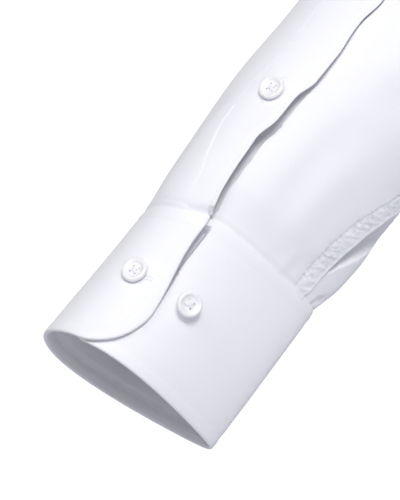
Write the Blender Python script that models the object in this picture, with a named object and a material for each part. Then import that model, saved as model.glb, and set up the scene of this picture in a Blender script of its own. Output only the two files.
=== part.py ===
"""A man's long sleeve dress shirt, buttoned and filled out as if worn, with nobody in it.

Metres, +Z up, front facing -Y, so +X is the wearer's left. The origin is where the wearer's
shoulders carry the shirt: midway between the two sides of the neck. Every panel is a wall between an
outer grid of points and the same grid moved in along its normals. Torso points are read from rings
round the body, and sleeve points from sections along the arm, so that neighbours share their edges.
"""

import math
from collections import namedtuple

import bmesh
import bpy
import numpy as np
from mathutils import Matrix

MM = 0.001

# Driving dimensions
GAP = 0.3 * MM  # between neighbouring pieces, and under whatever lies on a panel
CLOTH = 1.0 * MM  # a single layer of shirting with its seam turnings
INTERLINED = 1.8 * MM  # cuffs and collar: two layers with interlining between
BUTTON = 11.0 * MM
BUTTON_THICK = 2.4 * MM
FRONT_BAND = 35.0 * MM
HEM_SIDE = -0.690
HEM_FRONT = -0.765
HEM_BACK = -0.785
UNDERARM = -0.250
SHOULDER_END = -0.045
NECK = 0.115
YOKE_FORWARD = 28.0 * MM
ARM_ANGLE = math.radians(38)  # sleeve from the vertical
SLEEVE = 0.580  # shoulder end to cuff seam, along the top of the arm
CUFF = 71.0 * MM
CUFF_LAP = 30.0 * MM
CUFF_CORNER = 20.0 * MM
CUFF_FLARE = 6.5 * MM  # the lapped edge runs out of square by this, seam to mouth
PLACKET = 24.0 * MM
PLACKET_LENGTH = 152.0 * MM
PLACKET_POINT = 12.0 * MM
UNDERLAP = 11.0 * MM
SLIT_LENGTH = 132.0 * MM
SEAM_RIDGE = 2.5 * MM  # the felled underarm seam, over the hollow that lies past it
SEAM_HOLLOW = 8.0 * MM
SEAM_POUCH = 3.5 * MM  # the cloth that bags out past the hollow, just over the cuff
EDGE_SPRING = 1.3 * MM  # the placket's free edge, between the cuff and its button
SLEEVE_INSET = 0.5 * MM  # the sleeve's cloth, in from the cuff's face at their seam
CLEAR = 0.2 * MM  # extra room where a curved layer lies on another

# Rise counts the cloth up from hem to neck, and equals the height as far as the chest.
Ring = namedtuple(
    "Ring", "name rise side_z front_z back_z half_width front_depth back_depth centre_y square"
)
RINGS = (
    Ring("below hem", -0.800, -0.800, -0.800, -0.800, 0.238, 0.130, 0.134, 0.000, 2.2),
    Ring("hip", -0.620, -0.620, -0.620, -0.620, 0.228, 0.126, 0.128, 0.000, 2.2),
    Ring("waist", -0.430, -0.430, -0.430, -0.430, 0.210, 0.119, 0.110, 0.000, 2.3),
    Ring("chest", -0.250, -0.250, -0.250, -0.250, 0.222, 0.128, 0.112, 0.000, 2.4),
    Ring("upper", -0.150, -0.148, -0.175, -0.150, 0.222, 0.124, 0.112, 0.000, 2.4),
    Ring("shoulder", -0.055, -0.052, -0.118, -0.062, 0.221, 0.112, 0.098, 0.002, 2.3),
    Ring("slope", 0.030, -0.024, -0.088, -0.018, 0.142, 0.092, 0.078, 0.000, 2.1),
    Ring("neck", NECK, 0.004, -0.062, 0.010, 0.060, 0.063, 0.058, -0.003, 2.0),
)
# Folds that run down the torso: depth is outwards, and they fade between start and full.
Fold = namedtuple("Fold", "name angle width depth start full")
TORSO_FOLDS = (
    Fold("left front flute", 58, 13, 7 * MM, -0.380, -0.700),
    Fold("left front hollow", 34, 12, -5 * MM, -0.420, -0.720),
    Fold("right front flute", -52, 14, 6 * MM, -0.400, -0.700),
    Fold("right front hollow", -30, 11, -4 * MM, -0.450, -0.720),
    Fold("left back flute", 128, 13, 8 * MM, -0.330, -0.700),
    Fold("back hollow", 156, 13, -6 * MM, -0.300, -0.680),
    Fold("right back flute", 228, 14, 7 * MM, -0.360, -0.700),
    Fold("right back hollow", 206, 11, -5 * MM, -0.350, -0.690),
)
# Sections across the arm. Along is measured down from the shoulder end, bow and shift move the
# middle to the back and to the body, and skew leans the section down towards the body.
Section = namedtuple("Section", "name along half_width half_depth egg roll bow shift skew")
SECTIONS = (
    Section("upper arm", 0.240, 0.0640, 0.0640, 0.00, 0, 0.004, 0.000, 0.00),
    Section("biceps", 0.300, 0.0620, 0.0610, 0.00, 0, 0.007, 0.000, 0.00),
    Section("elbow", 0.385, 0.0565, 0.0560, 0.00, 3, 0.010, 0.000, 0.00),
    Section("forearm", 0.470, 0.0490, 0.0490, 0.05, 8, 0.006, 0.001, 0.00),
    Section("button", 0.520, 0.0448, 0.0445, 0.20, 8, 0.003, -0.002, -0.03),
    Section("fullness", 0.562, 0.0412, 0.0390, 0.40, 8, 0.001, -0.001, -0.08),
    Section("cuff seam", SLEEVE, 0.0397, 0.0331, 0.50, 8, 0.000, 0.000, -0.10),
    Section("mouth", SLEEVE + CUFF, 0.0412, 0.0271, 0.50, -5, -0.002, 0.001, -0.09),
)
# The free edge of the sleeve placket and the underarm seam, by height above the cuff seam.
Edge = namedtuple("Edge", "above placket_edge seam")
EDGES = (
    Edge(0.000, -32, 48),
    Edge(0.012, -34, 49),
    Edge(0.034, -34, 53),
    Edge(0.045, -30, 58),
    Edge(0.058, -29, 65),
    Edge(0.068, -26, 70),
    Edge(0.082, -27, 75),
    Edge(0.100, -30, 79),
    Edge(0.112, -28, 81),
    Edge(0.152, -28, 84),
    Edge(SLEEVE, -28, 90),
)
# Pleats that fold towards the placket: degrees round the arm, and how far up they reach.
Pleat = namedtuple("Pleat", "name angle width height length")
PLEATS = (
    Pleat("first pleat", -80, 14, 2.6 * MM, 0.075),
    Pleat("second pleat", -122, 14, 2.4 * MM, 0.065),
)
PLEAT_EDGE = 2  # degrees
# The collar's outer edge from the left point round to the centre back, as the torso place that it
# lies over. Angle is that of the collar's fold above it. The right half mirrors it.
Leaf = namedtuple("Leaf", "name angle turn rise")
LEAF_EDGE = (
    Leaf("point", 4, 17, 0.016),
    Leaf("front", 42, 38, 0.052),
    Leaf("side", 90, 90, 0.078),
    Leaf("shoulder", 138, 138, 0.078),
    Leaf("back", 180, 180, 0.072),
)

WHITE = (0.91, 0.92, 0.95, 1)
PEARL = (0.93, 0.93, 0.92, 1)


# ---------------------------------------------------------------- curves and frames


def eased(at, places, values):
    """A smooth monotone curve through (place, value) pairs, read at `at`."""
    places, values = np.asarray(places, float), np.asarray(values, float)
    step = np.diff(places)
    slope = np.diff(values) / step
    inner = np.where(
        slope[:-1] * slope[1:] > 0,
        2 * slope[:-1] * slope[1:] / np.where(slope[:-1] + slope[1:] == 0, 1, slope[:-1] + slope[1:]),
        0,
    )
    bend = np.concatenate([[slope[0]], inner, [slope[-1]]])
    at = np.clip(at, places[0], places[-1])
    i = np.clip(np.searchsorted(places, at, side="right") - 1, 0, len(step) - 1)
    t = (at - places[i]) / step[i]
    return (
        values[i] * (1 + 2 * t) * (1 - t) ** 2
        + bend[i] * step[i] * t * (1 - t) ** 2
        + values[i + 1] * t**2 * (3 - 2 * t)
        + bend[i + 1] * step[i] * t**2 * (t - 1)
    )


def column(table, name, at, by):
    return eased(at, [getattr(row, by) for row in table], [getattr(row, name) for row in table])


def ramp(x, low, high):
    """0 below low, 1 above high, smooth between. Low may be the larger."""
    t = np.clip((x - low) / (high - low), 0, 1)
    return t * t * (3 - 2 * t)


def bump(x, centre, width):
    return np.exp(-(((x - centre) / width) ** 2))


def unit(v):
    return v / np.maximum(np.linalg.norm(v, axis=-1, keepdims=True), 1e-12)


def normals(surface, a, b, step_a=1e-4, step_b=1e-4):
    """Outward unit normals of surface(a, b), where a turns anticlockwise seen from b's far end."""
    along_a = surface(a + step_a, b) - surface(a - step_a, b)
    along_b = surface(a, b + step_b) - surface(a, b - step_b)
    return unit(np.cross(along_a, along_b))


# ---------------------------------------------------------------- torso form


def torso(angle, rise):
    """A point of the body of the shirt. Angle 0 is centre front, and 90 degrees the wearer's left."""
    read = {name: column(RINGS, name, rise, "rise") for name in Ring._fields[2:]}
    s, c = np.sin(angle), np.cos(angle)
    spread = (np.abs(s) ** read["square"] + np.abs(c) ** read["square"]) ** (-1 / read["square"])
    depth = np.where(c > 0, read["front_depth"], read["back_depth"])
    end_z = np.where(c > 0, read["front_z"], read["back_z"])
    degrees = np.degrees(angle)
    out = 0
    for fold in TORSO_FOLDS:
        turn = (degrees - fold.angle + 180) % 360 - 180
        out = out + fold.depth * bump(turn, 0, fold.width) * ramp(rise, fold.start, fold.full)
    return np.stack(
        [
            (read["half_width"] + out) * s * spread,
            read["centre_y"] - (depth + out) * c * spread,
            read["side_z"] + (end_z - read["side_z"]) * c**2,
        ],
        axis=-1,
    )


def away_from_neck(angle):
    return np.stack([np.sin(angle), -np.cos(angle), np.zeros_like(angle)], axis=-1)


def torso_normal(angle, rise):
    return normals(torso, angle, rise)


ARMHOLE_STEPS = 10
ARMHOLE_TURN = math.radians(10)  # the shoulder end sits this far forward of the side
SCOOP_FRONT = math.radians(30)
SCOOP_BACK = math.radians(25)


def armhole_place(angle):
    """(torso angle, rise) of the armhole at an angle round the arm: 90 underneath, -90 on top."""
    up = (1 - np.sin(angle)) / 2
    scoop = np.where(np.cos(angle) > 0, SCOOP_BACK, SCOOP_FRONT)
    turn = math.pi / 2 - ARMHOLE_TURN * up**2 + scoop * np.cos(angle)
    return turn, UNDERARM + (SHOULDER_END - UNDERARM) * up


def into_armhole(angle):
    """The unit direction across the armhole's edge into the hole, flat on the torso."""
    step = 1e-3
    along = torso(*armhole_place(angle + step)) - torso(*armhole_place(angle - step))
    across = unit(np.cross(torso_normal(*armhole_place(angle)), along))
    hole = torso(*armhole_place(np.radians([45.0, 135.0, 225.0, 315.0]))).mean(axis=0)
    inward = np.sum(across * (hole - torso(*armhole_place(angle))), axis=-1, keepdims=True)
    return across * np.sign(inward)


def armhole_rises():
    """The rises of the rows that cross the armhole, underarm to shoulder end."""
    arm = np.radians(90 - np.linspace(0, 180, ARMHOLE_STEPS + 1))
    return armhole_place(arm)[1]


def armhole_turns(back):
    """The torso angle of the armhole's front or back edge on each of those rows."""
    arm = np.radians(90 - np.linspace(0, 180, ARMHOLE_STEPS + 1))
    return armhole_place(arm if back else math.pi - arm)[0]


# ---------------------------------------------------------------- sleeve form

DOWN_ARM = np.array([math.sin(ARM_ANGLE), 0, -math.cos(ARM_ANGLE)])
TO_BODY = np.array([-math.cos(ARM_ANGLE), 0, -math.sin(ARM_ANGLE)])
BACKWARD = np.array([0, 1.0, 0])
ARM_START = np.array([0.222, 0, -0.050]) + TO_BODY * SECTIONS[0].half_width
BLEND_END = SECTIONS[0].along


def radius_at(above):
    return column(SECTIONS, "half_width", SLEEVE - above, "along")


def placket_edge(above):
    return np.radians(column(EDGES, "placket_edge", above, "above"))


def placket_turn(above, across):
    """The arm angle at a distance across the placket, in from its free edge."""
    return placket_edge(above) - across / radius_at(above)


def seam_turn(above):
    return np.radians(column(EDGES, "seam", above, "above"))


def sleeve_folds(angle, along):
    """How far the cloth stands out of its section: at the seam, past it, and at the pleats."""
    above = SLEEVE - along
    from_seam = np.degrees((angle - seam_turn(above) + math.pi) % (2 * math.pi) - math.pi)
    hollow = ramp(above, 0.012, 0.040) * ramp(above, 0.300, 0.120)
    out = SEAM_RIDGE * bump(from_seam, 0, 7) * hollow
    out = out - SEAM_HOLLOW * bump(from_seam, 19, 10) * hollow
    out = out + SEAM_POUCH * bump(from_seam, 27, 15) * bump(above, 0.024, 0.014)
    for pleat in PLEATS:
        turn = (np.degrees(angle) - pleat.angle + 180) % 360 - 180
        step = np.where(turn < 0, bump(turn, 0, pleat.width), bump(turn, 0, PLEAT_EDGE))
        out = out + pleat.height * step * ramp(above, pleat.length, 0) * ramp(above, -0.001, 0.006)
    return out


def section(angle, along):
    """A point of the sleeve or cuff. Angle 0 faces back, 90 degrees faces the body."""
    read = {name: column(SECTIONS, name, along, "along") for name in Section._fields[2:]}
    roll = np.radians(read["roll"])
    own = angle + roll
    out = sleeve_folds(angle, along) * (along < SLEEVE)
    across = (read["half_width"] + out) * np.sin(own)
    deep = (read["half_depth"] + out) * np.cos(own) * (1 - read["egg"] * np.sin(own))
    to_body = across * np.cos(roll) - deep * np.sin(roll) + read["shift"]
    to_back = across * np.sin(roll) + deep * np.cos(roll) + read["bow"]
    down = along + read["skew"] * across
    return (
        ARM_START
        + down[..., None] * DOWN_ARM
        + to_body[..., None] * TO_BODY
        + to_back[..., None] * BACKWARD
    )


def sleeve(angle, along):
    """The sleeve: sections below the upper arm, and above them a smooth run up to the armhole."""
    angle, along = np.broadcast_arrays(np.asarray(angle, float), np.asarray(along, float))
    lower = section(angle, np.maximum(along, BLEND_END))
    start = torso(*armhole_place(angle))
    end = section(angle, np.full_like(along, BLEND_END))
    length = np.linalg.norm(end - start, axis=-1, keepdims=True)
    outward = np.array([1.0, 0, 0]) * (0.25 * (1 - np.sin(angle)))[..., None]
    leaving = unit(DOWN_ARM + outward) * length
    arriving = DOWN_ARM * length
    t = np.clip(along / BLEND_END, 0, 1)[..., None]
    upper = (
        start * (1 + 2 * t) * (1 - t) ** 2
        + leaving * t * (1 - t) ** 2
        + end * t**2 * (3 - 2 * t)
        + arriving * t**2 * (t - 1)
    )
    return np.where((along > BLEND_END)[..., None], lower, upper)


def sleeve_normal(angle, along):
    return -normals(sleeve, angle, along)


def lap_lift(angle, above):
    """How far the lapped side of the cuff and sleeve stands off, so that the other end fits under."""
    turn = (np.degrees(angle) + 360) % 360 - 360  # -360 to 0, the placket near -30 to -70
    full = INTERLINED + GAP + CLEAR
    return full * ramp(turn, -170, -95) * ramp(above, SLIT_LENGTH, 0)


# ---------------------------------------------------------------- solids


def cloth_material(name, colour, roughness):
    material = bpy.data.materials.new(name)
    material.use_nodes = True
    shader = material.node_tree.nodes["Principled BSDF"]
    shader.inputs["Base Color"].default_value = colour
    shader.inputs["Roughness"].default_value = roughness
    return material


def add_solid(name, points, triangles, material):
    """One object from points and triangles, turned so that its faces point out."""
    mesh = bpy.data.meshes.new(name)
    mesh.from_pydata([tuple(p) for p in points], [], [tuple(t) for t in triangles])
    work = bmesh.new()
    work.from_mesh(mesh)
    if work.calc_volume(signed=True) < 0:
        bmesh.ops.reverse_faces(work, faces=work.faces)
    work.to_mesh(mesh)
    work.free()
    mesh.shade_smooth()
    mesh.set_sharp_from_angle(angle=math.radians(40))
    mesh.materials.append(material)
    solid = bpy.data.objects.new(name, mesh)
    bpy.context.scene.collection.objects.link(solid)
    return solid


def add_wall(name, outer, inner, material, closed=False, missing=(), flip=False):
    """A wall between two grids, rows by columns. Closed joins the last column to the first, and the
    cells in `missing`, as (row, column), are left open. Free edges get a rim. Flip splits the cells
    along their other diagonal, as a mirrored grid needs to match the layer it lies under."""
    rows, columns = outer.shape[:2]
    count = rows * columns
    index = np.arange(count).reshape(rows, columns)
    triangles = []
    edges = {}
    for r in range(rows - 1):
        for c in range(columns if closed else columns - 1):
            if (r, c) in missing:
                continue
            n = (c + 1) % columns
            corners = [index[r, c], index[r, n], index[r + 1, n], index[r + 1, c]]
            for trio in ((0, 1, 3), (1, 2, 3)) if flip else ((0, 1, 2), (0, 2, 3)):
                trio = [corners[i] for i in trio]
                triangles.append(trio)
                triangles.append([i + count for i in reversed(trio)])
            for a, b in zip(corners, corners[1:] + corners[:1]):
                edges.pop((b, a), None) or edges.setdefault((a, b), True)
    for a, b in edges:
        triangles.append([b, a, a + count])
        triangles.append([b, a + count, b + count])
    points = np.concatenate([outer.reshape(-1, 3), inner.reshape(-1, 3)])
    used, flat = np.unique(np.array(triangles), return_inverse=True)
    return add_solid(name, points[used], flat.reshape(-1, 3), material)


def mirrored(points, side):
    """Points of the left side as they are, or of the right side when side is -1."""
    return points * np.array([side, 1, 1])


# ---------------------------------------------------------------- fronts, back and yoke

HEM_ROWS = 4
SIDE_ROWS = 9
NECK_ROWS = 4
FRONT_COLUMNS = 9
BACK_COLUMNS = 16
YOKE_ROW = 7  # the armhole row that the back yoke seam follows
HIP = -0.600


def hem_rise(angle):
    """The shirt-tail hem: high at the side seams, low in front and behind."""
    low = np.where(np.cos(angle) > 0, HEM_FRONT, HEM_BACK)
    return HEM_SIDE + (low - HEM_SIDE) * np.abs(np.cos(angle)) ** 2


def side_rises():
    """Rows from the hip to just under the arm, closer together near the arm."""
    return UNDERARM + (HIP - UNDERARM) * np.linspace(1, 0, SIDE_ROWS + 1)[:-1] ** 1.15


def fanned(rises, middle):
    """Rows of rises over columns whose closeness to the middle of the panel is given. The rows that
    crowd together at the foot of the armhole spread out evenly towards the middle."""
    even = rises.copy()
    stop = min(SIDE_ROWS + ARMHOLE_STEPS, len(rises) - 1)
    step = (SHOULDER_END - UNDERARM) / ARMHOLE_STEPS
    even[SIDE_ROWS : stop + 1] = UNDERARM + step * np.arange(stop - SIDE_ROWS + 1)
    return rises[:, None] + (even - rises)[:, None] * middle


def with_hem(angles, rises):
    """Rows of (angle, rise) with the hem rows added under the first."""
    share = np.linspace(0, 1, HEM_ROWS + 1)[:-1, None]
    hem = hem_rise(angles[0])
    hem_rows = hem + (rises[0] - hem) * share
    angles = np.concatenate([np.repeat(angles[:1], HEM_ROWS, axis=0), angles])
    return angles, np.concatenate([hem_rows, rises])


def neck_flat(angles, out):
    """The normals with those of the neck row laid level, so that lifted layers end level too."""
    out = out.copy()
    level = away_from_neck(angles[-1])
    out[-1] = level / np.sum(level * out[-1], axis=-1, keepdims=True)
    return out


def front_edge(rise, reach):
    """The torso angle that lies a distance across from the centre front."""
    half_width = column(RINGS, "half_width", rise, "rise")
    return np.arcsin(np.clip(reach / half_width, -1, 1))


def yoke_seam_turn(rise):
    """The torso angle of the front yoke seam, a fixed distance forward of the shoulder line."""
    return np.arccos(YOKE_FORWARD / column(RINGS, "front_depth", rise, "rise"))


def front_rows():
    """(rises, outer turns) of a front: side seam, armhole, then the yoke seam up to the neck."""
    above = SHOULDER_END + (NECK - SHOULDER_END) * np.linspace(0, 1, NECK_ROWS + 1)[1:]
    rises = np.concatenate([side_rises(), armhole_rises(), above])
    side = np.full(SIDE_ROWS, math.pi / 2)
    turns = np.concatenate([side, armhole_turns(back=False), yoke_seam_turn(above)])
    return rises, turns


def front_grid():
    """Angles and rises of the left front, from its edge past the centre to its outer seams."""
    rises, outer = front_rows()
    half_width = column(RINGS, "half_width", rises, "rise")
    outer = outer - GAP / half_width
    share = np.linspace(0, 1, FRONT_COLUMNS - 2)
    spread = fanned(rises, np.concatenate([[1, 1], 1 - share**2]))
    band = [front_edge(spread[:, i], x * FRONT_BAND / 2) for i, x in enumerate((-1, 0, 1))]
    rest = [band[-1] + (outer - band[-1]) * t for t in share[1:]]
    return with_hem(np.stack(band + rest, axis=1), spread)


def over_lift(angle, rise):
    """How far the left front stands off where it laps over the right front."""
    half_width = column(RINGS, "half_width", rise, "rise")
    across = half_width * np.sin(angle)
    return (CLOTH + GAP) * ramp(across, FRONT_BAND / 2 + 60 * MM, FRONT_BAND / 2)


def add_front(side, material):
    angles, rises = front_grid()
    lift = over_lift(angles, rises) * (side > 0)
    points = torso(angles * side, rises)
    out = neck_flat(angles * side, torso_normal(angles * side, rises))
    outer = points + out * lift[..., None]
    name = "front_left" if side > 0 else "front_right"
    return add_wall(name, outer, outer - out * CLOTH, material, flip=side < 0)


def add_front_band(material):
    """The folded band that carries the buttonholes, on the left front's edge."""
    angles, rises = front_grid()
    angles, rises = angles[:, :3], rises[:, :3]
    points = torso(angles, rises)
    out = neck_flat(angles, torso_normal(angles, rises))
    low = points + out * (CLOTH + 2 * GAP)
    return add_wall("front_band", low + out * CLOTH, low, material)


def add_back(material):
    rises = np.concatenate([side_rises(), armhole_rises()[: YOKE_ROW + 1]])
    side = np.full(SIDE_ROWS, math.pi / 2)
    low = np.concatenate([side, armhole_turns(back=True)[: YOKE_ROW + 1]])
    low = low + GAP / column(RINGS, "half_width", rises, "rise")
    share = np.linspace(0, 1, BACK_COLUMNS + 1)
    angles = low[:, None] + (2 * math.pi - 2 * low)[:, None] * share
    spread = fanned(rises, 1 - (2 * share - 1) ** 2)
    spread[-1] -= GAP
    angles, spread = with_hem(angles, spread)
    outer = torso(angles, spread)
    return add_wall("back", outer, outer - torso_normal(angles, spread) * CLOTH, material)


def yoke_grid():
    """Angles and rises of the yoke, from its back seam up over the shoulders to the neck."""
    above = SHOULDER_END + (NECK - SHOULDER_END) * np.linspace(0, 1, NECK_ROWS + 1)[1:]
    rises = np.concatenate([side_rises(), armhole_rises(), above])
    share = np.linspace(0, 1, BACK_COLUMNS + 1)
    spread = fanned(rises, 1 - (2 * share - 1) ** 2)[SIDE_ROWS + YOKE_ROW :]
    low = np.concatenate([armhole_turns(back=True)[YOKE_ROW:], yoke_seam_turn(above)])
    low = low + GAP / column(RINGS, "half_width", rises[SIDE_ROWS + YOKE_ROW :], "rise")
    return low[:, None] + (2 * math.pi - 2 * low)[:, None] * share, spread


def add_yoke(material):
    angles, rises = yoke_grid()
    points = torso(angles, rises)
    out = neck_flat(angles, torso_normal(angles, rises))
    return add_wall("yoke", points, points - out * CLOTH, material)


def neck_turns():
    """The torso angles of the neckline's corners, from the right front's edge right round behind to
    the left front's, so that what stands on the neckline has the same corners."""
    front = front_grid()[0][-1]
    behind = yoke_grid()[0][-1, 1:-1]
    return np.concatenate([-front, -behind, front[::-1] - 2 * math.pi])


# ---------------------------------------------------------------- collar

STAND_FRONT = 30.0 * MM
STAND_SIDE = 34.0 * MM
STAND_BACK = 36.0 * MM
STAND_FORWARD = 5.0 * MM
STAND_LEAN = 2.5 * MM
COLLAR_OPEN = math.radians(4)
FOLD_RISE = 2.6 * MM
SEAM_RISE = 0.5 * MM
COLLAR_SEAM = 0.9 * MM
COLLAR_INSET = 0.4 * MM
COLLAR_SWELL = 2.0 * MM
COLLAR_CLEAR = 4.0 * MM
POINT_CLEAR = 2.5 * MM


def stand_point(angle, up, out):
    """The collar stand: up from 0 at the neck seam to 1 at its top, out from its outer face."""
    neck = torso(angle, np.full_like(angle, NECK))
    away = away_from_neck(angle)
    end = np.where(np.cos(angle) > 0, STAND_FRONT, STAND_BACK)
    height = STAND_SIDE + (end - STAND_SIDE) * np.cos(angle) ** 2
    lean = away * (-STAND_LEAN * up)[..., None] + np.array([0, -STAND_FORWARD, 0]) * up[..., None]
    return neck + lean + away * out[..., None] + np.array([0, 0, 1.0]) * (height * up)[..., None]


def stand_lap(angle):
    """How far the stand's left end stands off, from where it rises to just past the right end."""
    turn = (angle + math.pi) % (2 * math.pi) - math.pi
    return (INTERLINED + GAP) * ramp(turn, 1.3, 0.4) * ramp(turn, -0.75, -0.32)


def add_stand(material):
    """One strip round the neck, its left end lapped over its right."""
    angle = neck_turns()
    over = stand_lap(angle) * (angle < -math.pi)
    up = np.linspace(0, 1, 3)
    angle, up = np.meshgrid(angle, up)
    seam = np.array([0, 0, SEAM_RISE])
    outer = stand_point(angle, up, np.broadcast_to(over, angle.shape)) + seam
    inner = stand_point(angle, up, np.broadcast_to(over - INTERLINED, angle.shape)) + seam
    return add_wall("collar_stand", outer, inner, material)


def leaf_edge(angle):
    """The collar's outer edge, just clear of the shirt, at an angle round the neck."""
    degrees = np.degrees(angle) % 360
    left = np.where(degrees > 180, 360 - degrees, degrees)
    turn = np.radians(column(LEAF_EDGE, "turn", left, "angle"))
    turn = np.where(degrees > 180, -turn, turn)
    rise = column(LEAF_EDGE, "rise", left, "angle")
    clear = COLLAR_CLEAR + POINT_CLEAR * ramp(left, 40, 10)
    return torso(turn, rise) + torso_normal(turn, rise) * clear[:, None]


def add_collar(material):
    """The fall: over the top of the stand and down outside it to the points."""
    corners = -neck_turns()
    inside = corners[(corners > 2 * COLLAR_OPEN) & (corners < 2 * math.pi - 2 * COLLAR_OPEN)]
    angle = np.concatenate([[COLLAR_OPEN], inside, [2 * math.pi - COLLAR_OPEN]])
    clear = INTERLINED + GAP
    top = stand_point(angle, np.ones_like(angle), stand_lap(angle))
    away = away_from_neck(angle)
    rise = np.array([0, 0, 1.0])
    sewn = top + rise * (SEAM_RISE + 3 * GAP + COLLAR_SEAM) - away * COLLAR_INSET
    crest = top + rise * (FOLD_RISE + INTERLINED + GAP) + away * 0.4 * clear
    turned = top + away * (clear + INTERLINED + 2 * GAP) + rise * CLEAR
    edge = leaf_edge(angle)
    swell = away * COLLAR_SWELL
    mid = [turned + (edge - turned) * t + swell * (4 * t * (1 - t)) for t in (0.33, 0.67, 1.0)]
    outer = np.stack([sewn, crest, turned, *mid])
    inward = unit(np.cross(np.gradient(outer, axis=1), np.gradient(outer, axis=0)))
    if np.sum(inward[3] * away) > 0:
        inward = -inward
    thick = np.array([0.9, 1.4, 1.5, 1.4, 1.2, 1.2]) * MM
    return add_wall("collar", outer, outer + inward * thick[:, None, None], material)


# ---------------------------------------------------------------- sleeves, plackets and cuffs

# The sleeve's lengthwise lines, from the seam round to the seam: their arm angle at the cuff in
# degrees, or None where the angle changes with height.
Line = namedtuple("Line", "name cuff_angle")
SLEEVE_LINES = (
    Line("seam", None),
    Line("hollow", None),
    Line("pouch", 92),
    Line("inner", 110),
    Line("inner front", 130),
    Line("front", 150),
    Line("mid front", 172),
    Line("outer front", 194),
    Line("mid outer", 216),
    Line("second pleat", 237),
    Line("past second pleat", 241),
    Line("first pleat", 278),
    Line("past first pleat", 282),
    Line("placket seam", None),
    Line("slit outer", None),
    Line("slit inner", None),
    Line("placket edge", None),
    Line("back", 354),
    Line("mid back", 374),
    Line("inner back", 395),
)
HOLLOW_TURN = math.radians(16)
ARMHOLE_GAP = 0.4 * MM  # to the body, whose armhole has straight sides between its corners
SLIT_OUTER = 21.0 * MM
SLIT_INNER = 7.5 * MM
SLEEVE_ROWS_UP = (0, 6, 14, 24, 36, 50, 66, 84, 104, 118, 132, 160, 192, 228, 264, 300, 330)
UPPER_SHARES = (0.75, 0.5, 0.27, 0.1, 0)


def sleeve_columns(above):
    """Arm angles of the columns at a height over the cuff, turning to even steps at the armhole."""
    up = np.array([above])
    moving = {
        "seam": seam_turn(up)[0],
        "hollow": seam_turn(up)[0] + HOLLOW_TURN,
        "placket seam": 2 * math.pi + placket_turn(up, PLACKET)[0],
        "slit outer": 2 * math.pi + placket_turn(up, SLIT_OUTER)[0],
        "slit inner": 2 * math.pi + placket_turn(up, SLIT_INNER)[0],
        "placket edge": 2 * math.pi + placket_turn(up, 0)[0],
    }
    low = np.array(
        [moving[x.name] if x.cuff_angle is None else math.radians(x.cuff_angle) for x in SLEEVE_LINES]
    )
    even = math.pi / 2 + np.arange(len(SLEEVE_LINES)) * 2 * math.pi / len(SLEEVE_LINES)
    return low + (even - low) * ramp(above, 0.150, 0.330)


def sleeve_grid():
    """(angles, alongs) of the sleeve from the cuff seam up to the armhole."""
    lower = [SLEEVE - up * MM for up in SLEEVE_ROWS_UP]
    alongs = np.array(lower + [BLEND_END * t for t in UPPER_SHARES])
    angles = np.array([sleeve_columns(SLEEVE - a) for a in alongs])
    return angles, np.repeat(alongs[:, None], angles.shape[1], axis=1)


def seam_square(out):
    """Normals laid in the plane of the cuff seam, so that what meets there ends square to it."""
    skew = column(SECTIONS, "skew", np.array([SLEEVE]), "along")[0]
    plane = unit(np.cross(BACKWARD, TO_BODY + skew * DOWN_ARM))
    flat = out - np.sum(out * plane, axis=-1, keepdims=True) * plane
    return unit(flat)


def sleeve_outer(angles, alongs, lapped):
    """Sleeve points with the lapped side lifted, and their normals, a gap clear of the cuff."""
    out = sleeve_normal(angles, alongs)
    out[0] = seam_square(out[0])
    lift = lap_lift(angles, SLEEVE - alongs) * lapped
    outer = sleeve(angles, alongs) + out * lift[..., None]
    outer[0] -= DOWN_ARM * GAP
    return outer, out


def add_sleeve(side, material):
    angles, alongs = sleeve_grid()
    names = [line.name for line in SLEEVE_LINES]
    lapped = np.arange(len(names)) <= names.index("slit outer")
    outer, out = sleeve_outer(angles, alongs, lapped)
    seam = ramp(SLEEVE - alongs, 0.030, 0)
    outer = outer - out * (SLEEVE_INSET * seam)[..., None]
    outer[-1] += into_armhole(angles[-1]) * ARMHOLE_GAP
    torso_out = torso_normal(*armhole_place(angles[-1]))
    agree = ramp(np.sum(torso_out * out[-1], axis=-1), 0, 0.6)[:, None]
    out[-1] = unit(out[-1] * (1 - agree) + torso_out * agree)
    inner = outer - out * CLOTH
    slit = names.index("slit outer")
    open_rows = [r for r, up in enumerate(SLEEVE_ROWS_UP) if up < SLIT_LENGTH / MM]
    name = "sleeve_left" if side > 0 else "sleeve_right"
    return add_wall(
        name,
        mirrored(outer, side),
        mirrored(inner, side),
        material,
        closed=True,
        missing={(r, slit) for r in open_rows},
    )


def placket_grid(across, top):
    """Sleeve places across the placket, by distance in from its free edge, up to `top`."""
    ups = [up * MM for up in SLEEVE_ROWS_UP if up * MM < top - 4 * MM] + [top]
    angles = np.array([[placket_turn(np.array([up]), x)[0] for x in across] for up in ups])
    alongs = np.repeat(SLEEVE - np.array(ups)[:, None], len(across), axis=1)
    return angles, alongs


def free_edge_lift(angle, above):
    """The placket's free edge springs up off the sleeve between the cuff and its button."""
    across = (placket_edge(above) - angle) * radius_at(above)
    spring = bump(above, 0.046, 0.018) + 0.5 * bump(above, 0.012, 0.014)
    return EDGE_SPRING * spring * ramp(across, SLIT_INNER + 1.5 * MM, 0)


def add_placket(side, material):
    """The wide strip that covers the slit, pointed at the top."""
    across = (PLACKET, SLIT_OUTER, SLIT_INNER, 0.0)
    angles, alongs = placket_grid(across, PLACKET_LENGTH)
    above = SLEEVE - alongs
    point = np.array([0, 1, 1, 0])
    alongs[-1] += (1 - point) * PLACKET_POINT
    out = sleeve_normal(angles, alongs)
    out[0] = seam_square(out[0])
    lift = lap_lift(np.full_like(angles, -1.0), above) + 2 * GAP + free_edge_lift(angles, above)
    low = sleeve(angles, alongs) + out * lift[..., None]
    low[0] -= DOWN_ARM * GAP
    name = "placket_left" if side > 0 else "placket_right"
    return add_wall(name, mirrored(low + out * CLOTH, side), mirrored(low, side), material)


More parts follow.
